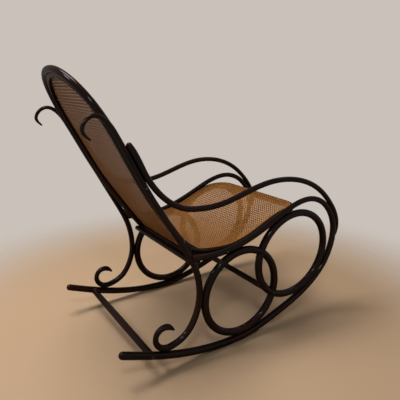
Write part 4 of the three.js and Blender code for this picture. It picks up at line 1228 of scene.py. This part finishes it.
class Panel:
    """A woven panel: its rail line, its cross rail, and the heights that its strands take."""

    def __init__(self, bend, line, edge_in, hole_in, rail_place, rail_radius, hole_place, height):
        self.bend = bend
        self.out = outward_of(line)
        self.edge = line - self.out * edge_in
        holes = line - self.out * hole_in
        self.holes = holes[holes[:, 1] > hole_place]
        ends = self.holes[[-1, 0]].copy()
        ends[:, 1] = hole_place
        self.outline = np.vstack([self.holes, ends])
        self.rail_place, self.rail_radius, self.height = rail_place, rail_radius, height

    def inside(self, flat):
        """How far points are inside the rail's inner edge; less than nothing over the rail."""
        nearest = nearest_on(self.edge, flat)
        return -((flat - self.edge[nearest]) * self.out[nearest]).sum(1)

    def on_bend(self, flat):
        """Points on the bent surface, and the directions up from it, for points in the flat."""
        spots = self.bend.point(flat[:, 1])
        spots[:, 1] = flat[:, 0]
        return spots, surface_normal(self.bend, flat[:, 1])

    def lay(self, flat, lift, sunk, layer):
        """Points and normals on the chair's face for points in the flat."""
        inside = self.inside(flat)
        over_edge = eased(1 - np.clip(inside / EDGE_RISE_OVER, 0, 1))
        height = self.height(flat, inside, over_edge)
        off = np.clip(np.abs(flat[:, 1] - self.rail_place) / self.rail_radius, 0, 1)
        rail = self.rail_radius * np.sqrt(1 - off * off) + OVER_RAIL
        height = np.maximum(height, np.where(off < 1, rail, -1))
        height = height + lift * (1 - over_edge) + layer * over_edge - sunk * HOLE_SINK
        spots, normals = self.on_bend(flat)
        return spots + normals * height[:, None], normals

    def strand_runs(self, strands, layer):
        sizes = np.cumsum([len(strand) for strand in strands])[:-1]
        rows = np.vstack(strands)
        points, normals = self.lay(rows[:, :2], rows[:, 2], rows[:, 3], layer)
        return list(zip(np.split(points, sizes), np.split(normals, sizes)))


# %% One family of strands, and a whole panel
def cane_piece(node, kind, runs, finish=woven_cane, **sizes):
    piece = strips(f"{node}_{kind}", runs, **sizes)
    piece.data.calc_loop_triangles()
    print(piece.name, len(runs), "strands,", len(piece.data.loop_triangles), "triangles, volume",
          round(body_volume(piece) * 1e6, 2), "cm3")
    settle(piece, finish, node, sharp=80)


def weave_panel(panel, node, wave, width):
    for family, strands, layer in zip(("upright", "level", "slant"), weave(panel.outline, wave),
                                      LAYERS):
        cane_piece(node, family + "_strands", panel.strand_runs(strands, layer), width=width)


# %% Back panel
BACK_PANEL_UP = 0.0045
OVER_BAND = 0.0003
BACK_HOLES_IN, BACK_HOLES_FROM = BACK_WIDTH / 2 - 0.0050, 0.0150


def back_height(flat, inside, over_edge):
    return BACK_PANEL_UP + (BAND / 2 + OVER_BAND - BACK_PANEL_UP) * over_edge


back_panel = Panel(back_bend, back_line, edge_in=BACK_WIDTH / 2, hole_in=BACK_HOLES_IN,
                   rail_place=BOTTOM_RAIL, rail_radius=BOTTOM_RAIL,
                   hole_place=BACK_HOLES_FROM, height=back_height)
weave_panel(back_panel, "back_cane", wave=0.85, width=0.0024)

# %% Seat panel
SEAT_PANEL_UP = 0.0085
SEAT_SAG = 0.007
SEAT_EDGE_UP, SEAT_EDGE_SLOPE, SEAT_EDGE_WIDTH = 0.0100, 0.2445, 0.0125
SEAT_HOLES_IN, SEAT_HOLES_BEHIND = SEAT_RAIL[0] / 2 - 0.0080, 0.005
seat_rear_at = seat_bend.place_at(0, seat_rear[0], 0.0, seat_bend.reach)
seat_middle = (seat_rear_at + seat_bend.reach) / 2
seat_half_length = (seat_bend.reach - seat_rear_at) / 2


def seat_height(flat, inside, over_edge):
    open_half = seat_half_width(flat[:, 1]) - SEAT_RAIL[0] / 2
    across = np.clip(np.abs(flat[:, 0]) / open_half, 0, 1)
    along = np.clip(np.abs(flat[:, 1] - seat_middle) / seat_half_length, 0, 1)
    panel = SEAT_PANEL_UP - SEAT_SAG * (1 - across ** 2) * (1 - along ** 4)
    rail = SEAT_EDGE_UP + SEAT_EDGE_SLOPE * np.clip(-inside, 0, SEAT_EDGE_WIDTH)
    return panel + (rail - panel) * over_edge


seat_panel = Panel(seat_bend, seat_line, edge_in=SEAT_RAIL[0] / 2, hole_in=SEAT_HOLES_IN,
                   rail_place=seat_rear_at, rail_radius=SEAT_REAR_RAIL,
                   hole_place=seat_rear_at - SEAT_HOLES_BEHIND, height=seat_height)
weave_panel(seat_panel, "seat_cane", wave=1.15, width=0.0028)

# %% [markdown]
# ## Binder and loops
# On the face, a broader strand called the binder covers the row of holes, and small ties that come
# up through every second hole hold it down. On the hidden face the strands pass from each hole to
# the next in short loops. These were stained together with the frame, so they hardly show there.

# %% Binder, ties and loops
BINDER_STEP = 0.005
BINDER = dict(width=0.0036, thick=0.0009)
TIE = dict(width=0.0018, thick=0.0005)
LOOP = dict(width=0.0025, thick=0.0007)
TIE_OUT = np.array([-0.0025, -0.0022, -0.0013, 0, 0.0013, 0.0022, 0.0025])
TIE_UP = np.array([0.0002, 0.0015, 0.0025, 0.0027, 0.0025, 0.0015, 0.0002])
LOOP_SHARES = np.array([0.10, 0.13, 0.20, 0.34, 0.5, 0.66, 0.80, 0.87, 0.90])
LOOP_OUT = np.array([-0.002, 0, 0.0005, 0.0008, 0.0009, 0.0008, 0.0005, 0, -0.002])


def hole_run(panel, start, step):
    """Places along the row of holes, evenly from a start, with directions outwards."""
    spots = spaced(panel.holes, np.arange(start, travelled(panel.holes)[-1], step))
    return spots, outward_of(spots)


def face_points(panel, flat, raised):
    """Points on the face of the rail, raised by a distance."""
    return panel.lay(flat, 0, 0, raised)


def under_points(panel, flat, depth):
    """Points on the hidden face, at a depth below the rail's line."""
    spots, normals = panel.on_bend(flat)
    return spots - normals * depth[:, None], -normals


def bind_panel(panel, node, hidden, inward):
    binder = face_points(panel, hole_run(panel, 0.0, BINDER_STEP)[0], LAYERS[-1])
    cane_piece(node, "binder", [binder], **BINDER)
    holes, out = hole_run(panel, PITCH / 2, PITCH)
    ties = [face_points(panel, hole + TIE_OUT[:, None] * away, TIE_UP)
            for hole, away in zip(holes[::2], out[::2])]
    cane_piece(node, "ties", ties, **TIE)
    row = holes - out * inward
    loops = [under_points(panel, here + LOOP_SHARES[:, None] * (there - here), hidden + LOOP_OUT)
             for here, there in zip(row, row[1:])]
    cane_piece(node, "loops", loops, stained_cane, **LOOP)


bind_panel(back_panel, "back_cane", hidden=BAND / 2, inward=0.0026)
bind_panel(seat_panel, "seat_cane", hidden=SEAT_RAIL[1] * 0.46, inward=0.0)
